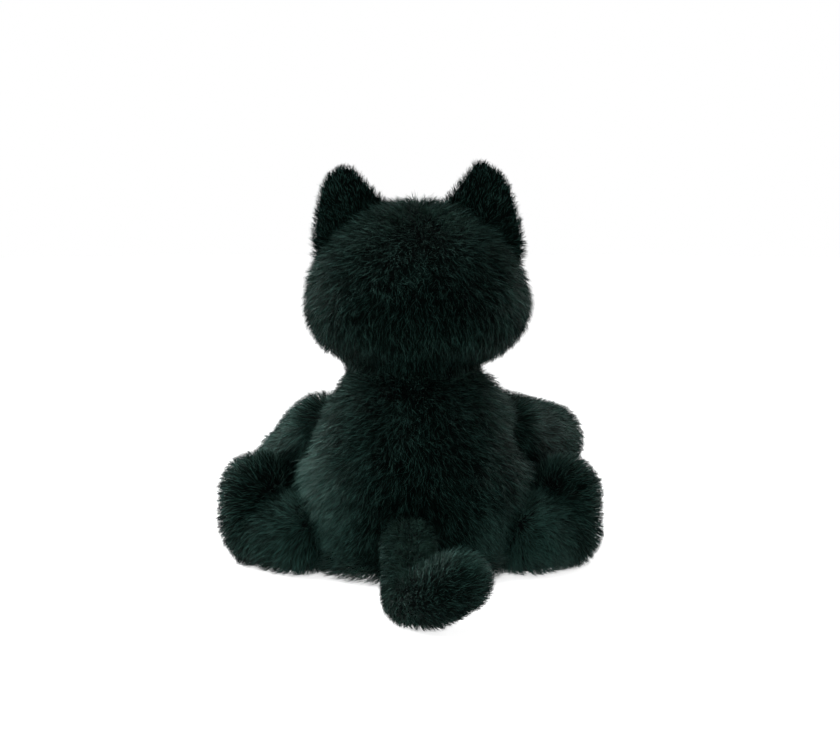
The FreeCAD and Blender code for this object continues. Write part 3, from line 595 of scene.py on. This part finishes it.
HEAD_MIDDLE = Vector((-0.002, -0.003, 0.0))
HEAD_HALF_WIDTH, HEAD_DEPTH = 0.064, 0.84       # the depth is a share of the width
CHEEK_RADIUS = 0.033
NECK = hinge_place("neck_turn")
NECK_RADIUS = 0.039
MUZZLE = Vector((-0.002, -0.049, 0.141))
MUZZLE_RADII = (0.0238, 0.0143, 0.0172)


def head_outline(under):
    """Crown, cheek and underside as three arcs that touch."""
    cheek = CHEEK_RADIUS - under
    cheek_x, cheek_z = HEAD_HALF_WIDTH - CHEEK_RADIUS, 0.157
    crown_top, jaw = 0.216 - under, 0.116 + under

    def axis_circle(tip, towards):
        rise = (cheek_z - tip) * towards
        return (cheek_x**2 + rise**2 - cheek**2) / (2 * (rise - cheek))

    crown, below = axis_circle(crown_top, -1), axis_circle(jaw, 1)
    crown_touch = math.atan2(cheek_z - (crown_top - crown), cheek_x)
    below_touch = math.atan2(cheek_z - (jaw + below), cheek_x)
    under_run = circle_run((0, jaw + below), below, -math.pi / 2, below_touch, 20)
    cheek_run = circle_run((cheek_x, cheek_z), cheek, below_touch, crown_touch, 20)[1:]
    crown_run = circle_run((0, crown_top - crown), crown, crown_touch, math.pi / 2, 26)[1:]
    return under_run + cheek_run + crown_run


def round_outline(radius, count=24):
    return circle_run((0, 0), radius, -math.pi / 2, math.pi / 2, count)


cloth = bmesh.new()
turned(cloth, head_outline(PILE_ROOT), Matrix.Translation(HEAD_MIDDLE), (1.0, HEAD_DEPTH, 1.0))
turned(cloth, round_outline(NECK_RADIUS - PILE_ROOT), Matrix.Translation(NECK))
turned(cloth, round_outline(1.0), Matrix.Translation(MUZZLE), MUZZLE_RADII)
head_cover = stuffed_skin("head_cover", cloth, voxel=0.0022, soften=5)
head_cover.data.materials.append(knitted_backing)
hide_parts("head_back_panel", "face_panel")
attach(head_cover, "head")

WHORL = np.array([-0.002, 0.004, 0.240])        # above the crown; the pile runs away from it
NOSE_PLACE = (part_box("nose")[0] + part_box("nose")[1]) / 2

# Round each of these the pile is trimmed to a length that rises with the distance, and none grows
# within the room that it needs.
FACE_TRIM = {
    "left_eye": {"near": 0.0026, "rise": 0.42, "room": 0.0016},
    "right_eye": {"near": 0.0026, "rise": 0.42, "room": 0.0016},
    "nose": {"near": 0.0022, "rise": 0.42, "room": 0.0014},
    "mouth_stitch": {"near": 0.0018, "rise": 0.5, "room": 0.0026},
}
FRONT = -0.03       # the face's details lie forward of this


def gap_to(solid, at):
    """How far each place is from the nearest corner of a solid."""
    corners = frame["nodes"][solid].data.vertices
    tree = KDTree(len(corners))
    for number, corner in enumerate(corners):
        tree.insert(corner.co, number)
    tree.balance()
    return np.array([tree.find(place)[2] for place in at])


def head_flow(at, out):
    """Brushed down from the top of the crown to the nape, and on the face away from the nose."""
    way = unit(at - WHORL)
    way[:, 2] -= 0.3
    inward = falling(at[:, 2], 0.165, 0.04)
    way[:, 0] -= 0.9 * (at[:, 0] - HEAD_MIDDLE.x) / HEAD_HALF_WIDTH * inward
    face = falling(at[:, 1], -0.030, 0.02)[:, None]
    from_nose = unit(at - np.array(NOSE_PLACE) - np.array([0, 0, 0.004]))
    return way * (1 - face) + from_nose * face


def head_length(at):
    """Full pile behind, trimmed shorter on the face and close round the eyes, nose and mouth."""
    face = falling(at[:, 1], -0.020, 0.025)
    reach = PILE_LENGTH * (1 - face) + 0.0062 * face
    front = at[:, 1] < FRONT
    for solid, trim in FACE_TRIM.items():
        limit = trim["near"] + trim["rise"] * gap_to(solid, at[front])
        reach[front] = np.minimum(reach[front], limit)
    return reach


def clear_of_face(at):
    """1 where pile grows, 0 under the eyes, nose and mouth."""
    clear = np.ones(len(at))
    front = at[:, 1] < FRONT
    for solid, trim in FACE_TRIM.items():
        clear[front] *= gap_to(solid, at[front]) > trim["room"]
    return clear


def out_of_the_collar(at):
    """0 for the neck's cloth that lies inside the torso, 1 for the rest."""
    inside = (at[:, 2] < 0.104) & (np.hypot(at[:, 0], at[:, 1] - NECK[1]) < 0.034)
    return np.where(inside, 0.0, 1.0)


def on_the_head_back(at, out):
    return (at[:, 1] >= HEAD_MIDDLE[1]) * out_of_the_collar(at)


def on_the_face(at, out):
    return (at[:, 1] < HEAD_MIDDLE[1]) * out_of_the_collar(at) * clear_of_face(at)


def head_painted_shade(at):
    """Painted shade: darker under the head at the nape and on the crown."""
    return 0.39 - 0.19 * falling(at[:, 2], 0.160, 0.035) - 0.10 * rising(at[:, 2], 0.180, 0.020)


head_back_pile = grow_pile("head_back_pile", head_cover, density=190, flow=head_flow, length=head_length,
                           fibre=long_fibre, seed=21, keep=on_the_head_back, shade=head_painted_shade)
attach(head_back_pile, "head")
face_pile = grow_pile("face_pile", head_cover, density=200, flow=head_flow, length=head_length,
                      fibre=long_fibre, seed=22, keep=on_the_face, lift=(56, 20), fall=0.03, comb=0.7)
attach(face_pile, "head")


# ---------------------------------------------------------------------------
# The ears: a furry back panel and a smooth velour front panel, sewn round the edge, turned and left
# unstuffed, and set into the seam between crown and cheek so that they flex at the root.

velour_fibre = pile_fibre(
    "short_pile_fibre", root=(0.0020, 0.0052, 0.0048), middle=(0.0060, 0.0125, 0.0112),
    light=(0.018, 0.032, 0.029), gloss=0.6, sheen=0.35,
)
SIGN = {"left": 1, "right": -1}         # the cat's left is on the +X side
EAR_SLOPE = 35.8                        # degrees that the ears spread from upright
EAR_HALF_WIDTH, EAR_HALF_THICKNESS, EAR_STEPS = 0.0265, 0.007, 48
EAR_UNDER = 0.0018                      # how far the ear's backing lies under its outer face
EAR_MIDDLE = -0.0012                    # where back and front panel meet
# Each ring up the ear has its share of the height, the width, the lean and the thickness.
EAR_RINGS = (
    (0.0, 1.0, 0.0, 1.0),
    (0.25, 0.88, 0.12, 0.82),
    (0.5, 0.74, 0.33, 0.68),
    (0.75, 0.56, 0.60, 0.56),
    (0.91, 0.42, 0.80, 0.46),
    (1.0, 0.27, 0.90, 0.25),
)


def sleeve(cloth, rings):
    """Adds the faces of a sleeve through rings of points, closed at both ends."""
    steps = len(rings[0])
    for low, high in zip(rings, rings[1:]):
        for a in range(steps):
            b = (a + 1) % steps
            cloth.faces.new((low[a], low[b], high[b], high[a]))
    cloth.faces.new(rings[0][::-1])
    cloth.faces.new(rings[-1])


def ear_frame(side):
    """The ear's own frame: Z up the ear, X outward along its root."""
    facing = Matrix.Rotation(0 if side == "left" else math.pi, 4, "Z")
    turn = facing @ Matrix.Rotation(math.radians(EAR_SLOPE), 4, "Y")
    return Matrix.Translation(hinge_place(f"{side}_ear_flex")) @ turn


def make_ear(side, seed):
    sign = SIGN[side]
    place = ear_frame(side)
    height = {"left": 0.0355, "right": 0.0344}[side]
    lean, fullness = {"left": (0.0135, -0.0010), "right": (0.0185, 0.0010)}[side]
    cloth = bmesh.new()
    rings = []
    for rise, wide, shift, thick in EAR_RINGS:
        half_width = EAR_HALF_WIDTH * wide + fullness
        half_thick = max(EAR_HALF_THICKNESS * thick - EAR_UNDER, 0.0008)
        level = rise * (height - 0.0004)
        ring = []
        for a in np.linspace(0, 2 * math.pi, EAR_STEPS, endpoint=False):
            spot = (-shift * lean + half_width * math.cos(a), half_thick * math.sin(a), level)
            ring.append(cloth.verts.new(place @ Vector(spot)))
        rings.append(ring)
    sleeve(cloth, rings)
    turned(cloth, round_outline(1.0), place, (0.0243, 0.0054, 0.0054), steps=EAR_STEPS)
    ear = stuffed_skin(f"{side}_ear_cover", cloth, voxel=0.0012, soften=3)
    ear.data.materials.append(knitted_backing)
    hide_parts(f"{side}_ear_back", f"{side}_ear_front")
    home = np.array(place.inverted())
    foot = np.array(place @ Vector((0.004, 0, -0.012)))
    outward = np.array(place.to_3x3() @ Vector((-0.35, 0, 1)))

    def local(at):
        return at @ home[:3, :3].T + home[:3, 3]

    def up_the_ear(at):
        return rising(local(at)[:, 2], 0.0, height)

    def ear_flow(at, out):
        return unit(at - foot) + 0.5 * outward

    def on_the_ear_back(at, out):
        own = local(at)
        return ((own[:, 1] * sign > EAR_MIDDLE) & (own[:, 2] > -0.002)).astype(float)

    def on_the_ear_front(at, out):
        own = local(at)
        return ((own[:, 1] * sign <= EAR_MIDDLE) & (own[:, 2] > -0.002)).astype(float)

    def shorter_to_the_tip(at):
        return 0.0064 - 0.0018 * up_the_ear(at)

    def ear_shade(at):
        """Lighter towards the tip, where the strands catch the light."""
        return 0.26 + 0.12 * up_the_ear(at)

    back = grow_pile(f"{side}_ear_pile", ear, density=260, flow=ear_flow, length=shorter_to_the_tip,
                     fibre=long_fibre, seed=seed, keep=on_the_ear_back, lift=(54, 16), width=0.00034,
                     fall=0.0, shade=ear_shade)
    front = grow_pile(f"{side}_ear_velour", ear, density=320, flow=ear_flow, length=0.0028,
                      fibre=velour_fibre, seed=seed + 2, keep=on_the_ear_front, lift=(66, 40),
                      width=0.0004, fall=0.0, tuft=0.0015)
    for piece in (ear, back, front):
        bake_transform(piece)


make_ear("left", seed=31)
make_ear("right", seed=32)


# ---------------------------------------------------------------------------
# The arms: tapered tubes of the same pile, sewn shut round the paw, stuffed and sewn on at the
# shoulders. They reach forward and down beside the belly.

ALONG_X = Matrix.Rotation(math.pi / 2, 4, "Y")      # a form turned about Z, laid along X
ARM_SPLAY = 62                                      # degrees that the arms turn forward
ARM_ROOT, ARM_PAW, ARM_REACH = 0.0225, 0.021, 0.063


def limb_frame(joint_name, turn):
    """A limb's own frame: from its hinge, with X along the limb."""
    return Matrix.Translation(hinge_place(joint_name)) @ turn.to_4x4()


def side_turn(side, splay):
    """Turns X to point out of the cat's side, then forward by the splay in degrees."""
    outward = 0 if side == "left" else 180
    return Matrix.Rotation(math.radians(outward - SIGN[side] * splay), 3, "Z")


def sausage_outline(root, tip, reach, count=16):
    """A ball at 0, a ball at the reach and the cone between them, along the form's own axis."""
    lean = math.asin((root - tip) / reach)
    first = circle_run((0, 0), root, -math.pi / 2, lean, count)
    last = circle_run((0, reach), tip, lean, math.pi / 2, count)
    start, end = first[-1], last[0]
    middle = [
        (start[0] + (end[0] - start[0]) * t, start[1] + (end[1] - start[1]) * t)
        for t in (0.25, 0.5, 0.75)
    ]
    return first + middle + last


def keep_above_floor(skin):
    """The stuffing settles: what would lie under the floor lies flat on it."""
    for v in skin.data.vertices:
        v.co.z = max(v.co.z, FLOOR_CLEAR)
    skin.data.update()


def from_torso_axis(at):
    """How far each place is from the torso's axis, as if the torso were round."""
    return np.hypot(at[:, 0], at[:, 1] / TORSO_DEPTH)


def make_arm(side, droop, shade, seed):
    turn = side_turn(side, ARM_SPLAY) @ Matrix.Rotation(math.radians(droop), 3, "Y")
    place = limb_frame(f"{side}_shoulder", turn)
    cloth = bmesh.new()
    outline = sausage_outline(ARM_ROOT - PILE_ROOT, ARM_PAW - PILE_ROOT, ARM_REACH)
    turned(cloth, outline, place @ ALONG_X)
    arm = stuffed_skin(f"{side}_arm_cover_skin", cloth, voxel=0.002, soften=3)
    arm.data.materials.append(knitted_backing)
    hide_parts(f"{side}_arm_cover")
    keep_above_floor(arm)
    shoulder = np.array(place.translation)
    along = np.array(place.to_3x3() @ Vector((1, 0, 0)))

    def arm_flow(at, out):
        """Brushed towards the paw, and a little outward and down."""
        way = np.tile(along, (len(at), 1)) * 0.9
        way[:, 0] += SIGN[side] * 0.25
        way[:, 2] -= 0.55
        return way

    def outside_the_torso(at, out):
        flank = 0.041 + 0.25 * np.clip(0.085 - at[:, 2], 0, 0.06)
        behind = ((at - shoulder) @ along) < -0.021
        return np.where((from_torso_axis(at) < flank) | behind, 0.0, 1.0)

    def arm_length(at):
        """Longer under the arm near the shoulder, where nothing rubs the pile."""
        below = falling(at[:, 2], shoulder[2] - 0.006, 0.01)
        return PILE_LENGTH + 0.0035 * below * falling((at - shoulder) @ along, 0.036, 0.02)

    pile = grow_pile(f"{side}_arm_pile", arm, density=170, flow=arm_flow, length=arm_length,
                     fibre=long_fibre, seed=seed, keep=outside_the_torso, shade=shade)
    for piece in (arm, pile):
        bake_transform(piece)


# The left arm's pile is paler than the right's: painted light, as the lamps light the left side more.
make_arm("left", droop=31, shade=0.57, seed=41)
make_arm("right", droop=12, shade=0.47, seed=42)


# ---------------------------------------------------------------------------
# The legs: short stuffed tubes that lie on the ground with the foot standing up at the end. Each
# foot ends in a flat oval sole of velour, sewn in round its edge.

LEG_SPLAY = 33                          # degrees that the legs turn forward
LEG_ROOT, LEG_SHIN = 0.025, 0.022
FOOT_HEEL, FOOT_TOES, FOOT_RISE = 0.022, 0.0205, 0.0225
SOLE_OUT = 0.0163                       # the flat sole lies this far past the middle of the foot


def make_leg(side, reach, fullness, thigh_painted_light, foot_tone_and_painted_light, seed):
    place = limb_frame(f"{side}_hip", side_turn(side, LEG_SPLAY))
    cloth = bmesh.new()
    outline = sausage_outline(LEG_ROOT - PILE_ROOT, LEG_SHIN - PILE_ROOT, reach)
    turned(cloth, outline, place @ ALONG_X)
    foot = sausage_outline(FOOT_HEEL - PILE_ROOT, FOOT_TOES - PILE_ROOT + fullness, FOOT_RISE)
    turned(cloth, foot, place @ Matrix.Translation(Vector((reach, 0, 0))))
    leg = stuffed_skin(f"{side}_leg_cover_skin", cloth, voxel=0.002, soften=5)
    sole_reach = reach + SOLE_OUT + fullness
    toward = np.array(place.to_3x3() @ Vector((1, 0, 0)))
    hip = np.array(place.translation)
    for v in leg.data.vertices:
        past_sole = (np.array(v.co) - hip) @ toward - sole_reach
        if past_sole > 0:
            v.co -= Vector(toward * past_sole)
        heel = max(0.0, (np.array(v.co) - hip) @ toward - reach) * max(0.0, 1 - v.co.z / 0.024)
        v.co -= Vector(toward * heel * 0.12)
    keep_above_floor(leg)
    leg.data.materials.append(knitted_backing)
    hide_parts(f"{side}_leg_cover", f"{side}_sole_panel")
    crease = hip + toward * (reach - 0.020) + np.array([0, 0, 0.020])
    sole_middle = hip + toward * sole_reach + np.array([0, 0, 0.012])

    def from_hip(at):
        return (at - hip) @ toward

    def is_sole(at, out):
        return (from_hip(at) > sole_reach - 0.0006) & (out @ toward > 0.8)

    def leg_flow(at, out):
        """Brushed along the shin to the ground, and on the foot away from the crease above it."""
        foot = rising(from_hip(at), reach - 0.022, 0.012)[:, None]
        shin = np.tile(toward * 0.8, (len(at), 1))
        shin[:, 2] -= 0.7
        shin[:, 2] *= np.clip((at[:, 2] - 0.004) / 0.014, 0.05, 1)
        return shin * (1 - foot) + unit(at - crease) * foot

    def leg_length(at):
        """Shorter round the heel, where the pile is pressed on the ground."""
        heel = rising(from_hip(at), reach, 0.012) * falling(at[:, 2], 0.026, 0.026)
        return PILE_LENGTH * (1 - 0.42 * heel)

    def leg_painted_light(at):
        """Painted light: paler on the thigh, fading to the foot's tone."""
        return thigh_painted_light + (foot_tone_and_painted_light - thigh_painted_light) * rising(from_hip(at), -0.004, 0.030)

    def furry(at, out):
        in_torso = (from_torso_axis(at) < 0.052) & (at[:, 2] < 0.1)
        return np.where(in_torso | is_sole(at, out), 0.0, 1.0) * sat_on(at, 0.004, 0.15)

    def velour(at, out):
        return is_sole(at, out).astype(float)

    def sole_flow(at, out):
        return at - sole_middle

    pile = grow_pile(f"{side}_leg_pile", leg, density=180, flow=leg_flow, length=leg_length,
                     fibre=long_fibre, seed=seed, keep=furry, shade=leg_painted_light)
    sole = grow_pile(f"{side}_sole_velour", leg, density=320, flow=sole_flow, length=0.0026,
                     fibre=velour_fibre, seed=seed + 2, keep=velour, lift=(66, 44), fall=0.0, tuft=0.0015)
    for piece in (leg, pile, sole):
        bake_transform(piece)


# The thigh and foot tones hold painted light, paler on the right, which the lamps light less.
make_leg("left", reach=0.031, fullness=0.0012, thigh_painted_light=0.74, foot_tone_and_painted_light=0.34, seed=51)
make_leg("right", reach=0.027, fullness=0.0, thigh_painted_light=0.94, foot_tone_and_painted_light=0.43, seed=52)


# ---------------------------------------------------------------------------
# The tail: one long tube of pile, stuffed, sewn on low at the back. It lies on the ground behind the
# cat, and its end curls round to one side.

TAIL_RADIUS, TAIL_RUN, TAIL_BEND, TAIL_END = 0.0155, 0.061, 0.021, 0.009
TAIL_FULL = 0.0014      # how much fuller the stuffing makes the end
TAIL_STEPS = 40
tail_turn = (
    Matrix.Rotation(math.radians(91.2), 3, "Z")     # straight back
    @ Matrix.Rotation(math.radians(13), 3, "Y")     # down to the ground
    @ Matrix.Rotation(math.radians(35), 3, "X")     # the curl tips up from the ground
)
tail_place = limb_frame("tail_swing", tail_turn)


def tail_line(count):
    """Points along the middle of the tail in its own frame: a straight run, a bend, and its end."""
    arc_length = TAIL_BEND * math.pi / 2
    total = TAIL_RUN + arc_length + TAIL_END
    points = []
    for s in np.linspace(0, total, count):
        if s < TAIL_RUN:
            points.append((s, 0.0, 0.0))
        elif s < TAIL_RUN + arc_length:
            a = (s - TAIL_RUN) / TAIL_BEND
            points.append((TAIL_RUN + TAIL_BEND * math.sin(a), TAIL_BEND * (1 - math.cos(a)), 0.0))
        else:
            points.append((TAIL_RUN + TAIL_BEND, TAIL_BEND + s - TAIL_RUN - arc_length, 0.0))
    return np.array(points)


def make_tail():
    line = tail_line(34)
    radius = TAIL_RADIUS - PILE_ROOT
    cloth = bmesh.new()
    rings = []
    for point, heading in zip(line, unit(np.gradient(line, axis=0))):
        across = np.array([-heading[1], heading[0], 0.0])
        upward = np.array([0, 0, 1.0])
        full = radius + TAIL_FULL * rising(point[0], 0.050, 0.030)
        ring = []
        for a in np.linspace(0, 2 * math.pi, TAIL_STEPS, endpoint=False):
            spot = point + across * full * math.cos(a) + upward * full * math.sin(a)
            ring.append(cloth.verts.new(tail_place @ Vector(spot)))
        rings.append(ring)
    sleeve(cloth, rings)
    tip = tail_place @ Matrix.Translation(Vector(line[-1]))
    turned(cloth, round_outline(radius), tail_place, steps=TAIL_STEPS)
    turned(cloth, round_outline(radius + TAIL_FULL), tip, steps=TAIL_STEPS)
    tail = stuffed_skin("tail_cover_skin", cloth, voxel=0.0018, soften=5)
    keep_above_floor(tail)
    tail.data.materials.append(knitted_backing)
    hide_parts("tail_cover")
    world_line = np.array([tail_place @ Vector(p) for p in line])
    world_way = unit(np.gradient(world_line, axis=0))

    def tail_flow(at, out):
        """Brushed along the tail to its end, and a little down."""
        distances = np.linalg.norm(at[:, None, :] - world_line[None, :, :], axis=2)
        way = world_way[np.argmin(distances, axis=1)].copy()
        way[:, 2] -= 0.25
        return way

    def furry(at, out):
        return sat_on(at, 0.004, 0.15) * np.where(at[:, 1] < 0.060, 0.0, 1.0)

    def tail_painted_light(at):
        """Painted shade along the middle of the straight run, painted light down its sides and on top of
        the end.
        """
        aside = np.abs(at[:, 0] - TAIL_BASE.x) / TAIL_RADIUS
        run = falling(at[:, 1], 0.100, 0.02)
        over = rising(at[:, 1], 0.110, 0.02) * rising(at[:, 2], 0.026, 0.010)
        return 0.44 + 0.24 * over + run * (0.26 * rising(aside, 0.45, 0.4) - 0.16)

    pile = grow_pile("tail_pile", tail, density=240, flow=tail_flow, length=0.0064, fibre=long_fibre,
                     seed=61, keep=furry, lift=(60, 20), comb=0.6, shade=tail_painted_light)
    for piece in (tail, pile):
        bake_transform(piece)


make_tail()


# ---------------------------------------------------------------------------
# The eyes and nose: domed plastic buttons on posts, pushed through the cloth and held behind it by
# moulded washers. The eyes are amber with a black pupil, the nose is satin black.

EYE_SPREAD = 0.026      # from the middle of the head to the middle of each eye
EYE_Y, EYE_LEVEL = -0.050, 0.162
EYE_SPLAY = 28          # degrees that the eyes look aside
IRIS_RADIUS = 0.0075


def dress(node, finish):
    """Gives a solid of the frame its finish."""
    finishes = frame["nodes"][node].data.materials
    finishes.clear()
    finishes.append(finish)


def eye_amber(side):
    """Amber rings and a dark rim painted behind a clear polished dome."""
    plastic, nodes, links, body = new_finish(f"{side}_eye_amber", {
        "Roughness": 0.06,
        "Specular IOR Level": 0.30,
        "Coat Weight": 0.15,
        "Coat Roughness": 0.03,
    })
    sign = SIGN[side]
    middle = (HEAD_MIDDLE.x + sign * EYE_SPREAD, EYE_Y, EYE_LEVEL)
    place = nodes.new("ShaderNodeTexCoord")
    own = nodes.new("ShaderNodeMapping")
    own.vector_type = "TEXTURE"
    own.inputs["Location"].default_value = middle
    own.inputs["Rotation"].default_value = (0, 0, math.radians(-90 + sign * EYE_SPLAY))
    links.new(place.outputs["Object"], own.inputs["Vector"])
    flat = nodes.new("ShaderNodeVectorMath")
    flat.operation = "MULTIPLY"
    flat.inputs[1].default_value = (0, 1, 1)
    links.new(own.outputs["Vector"], flat.inputs[0])
    spread = nodes.new("ShaderNodeVectorMath")
    spread.operation = "LENGTH"
    links.new(flat.outputs["Vector"], spread.inputs[0])
    rays = nodes.new("ShaderNodeTexNoise")
    rays.inputs["Scale"].default_value = 900.0
    links.new(own.outputs["Vector"], rays.inputs["Vector"])
    ripple = nodes.new("ShaderNodeMath")
    ripple.operation = "MULTIPLY_ADD"
    ripple.inputs[1].default_value = 0.0009
    links.new(rays.outputs["Fac"], ripple.inputs[0])
    links.new(spread.outputs["Value"], ripple.inputs[2])
    share = remapped(nodes, links, ripple.outputs[0], (0.0, IRIS_RADIUS), (0.0, 1.0))
    rings = nodes.new("ShaderNodeValToRGB")
    pupil, rim = rings.color_ramp.elements
    pupil.position, pupil.color = 0.50, (0.004, 0.004, 0.004, 1)
    rim.position, rim.color = 0.96, (0.012, 0.008, 0.004, 1)
    ambers = ((0.55, (0.20, 0.10, 0.012)), (0.72, (0.52, 0.30, 0.035)), (0.86, (0.33, 0.17, 0.02)))
    for position, amber in ambers:
        rings.color_ramp.elements.new(position).color = (*amber, 1)
    links.new(share, rings.inputs["Fac"])
    links.new(rings.outputs["Color"], body.inputs["Base Color"])
    return plastic


def satin_nose():
    black_plastic = {"Base Color": (0.008, 0.008, 0.009, 1), "Roughness": 0.32, "Specular IOR Level": 0.30}
    plastic, nodes, links, body = new_finish("satin_nose", black_plastic)
    grain = fine_grain(nodes, links, scale=1400.0, detail=2.0)
    add_relief(nodes, links, body, grain, strength=0.25, depth=0.0002)
    return plastic


dress("left_eye", eye_amber("left"))
dress("right_eye", eye_amber("right"))
dress("nose", satin_nose())


# ---------------------------------------------------------------------------
# The mouth: six-strand floss, nearly black, sewn through the face panel in close satin stitches
# under the nose before the head is stuffed.


def embroidery_floss():
    floss, nodes, links, body = new_finish("mouth_floss", {
        "Base Color": (0.004, 0.005, 0.005, 1),
        "Roughness": 0.5,
        "Specular IOR Level": 0.25,
        "Sheen Weight": 0.06,
    })
    place = nodes.new("ShaderNodeTexCoord")
    stitches = nodes.new("ShaderNodeTexWave")
    stitches.bands_direction = "DIAGONAL"
    stitches.inputs["Scale"].default_value = 700.0
    stitches.inputs["Distortion"].default_value = 1.5
    links.new(place.outputs["Object"], stitches.inputs["Vector"])
    add_relief(nodes, links, body, stitches.outputs["Fac"], strength=0.7, depth=0.0003)
    return floss


dress("mouth_stitch", embroidery_floss())


# ---------------------------------------------------------------------------
# What is inside: fibre stuffing, the cotton pouch of pellets in the seat, and the washers behind
# the eyes and nose. None of it shows unless a cover is opened.


def inside_finish(name, dark, light, scale, depth, roughness):
    return grainy_finish(name, dark, light, spread=(0.0, 1.0), scale=scale, detail=4.0, strength=0.5,
                         depth=depth, settings={"Roughness": roughness})


fibre_fill = inside_finish("fibre_fill", dark=(0.68, 0.68, 0.66), light=(0.90, 0.90, 0.88),
                           scale=260.0, depth=0.0012, roughness=0.95)
pouch_cotton = inside_finish("pouch_cotton", dark=(0.58, 0.55, 0.49), light=(0.76, 0.73, 0.68),
                             scale=1500.0, depth=0.0002, roughness=0.9)
loose_pellets = inside_finish("loose_pellets", dark=(0.62, 0.62, 0.60), light=(0.86, 0.86, 0.84),
                              scale=350.0, depth=0.001, roughness=0.5)
moulded_washer = inside_finish("moulded_washer", dark=(0.74, 0.74, 0.72), light=(0.82, 0.82, 0.80),
                               scale=600.0, depth=0.0001, roughness=0.4)
for node in frame["nodes"]:
    if node.endswith("stuffing"):
        dress(node, fibre_fill)
    elif node.endswith("washer"):
        dress(node, moulded_washer)
dress("pellet_pouch", pouch_cotton)
dress("pellet_fill", loose_pellets)
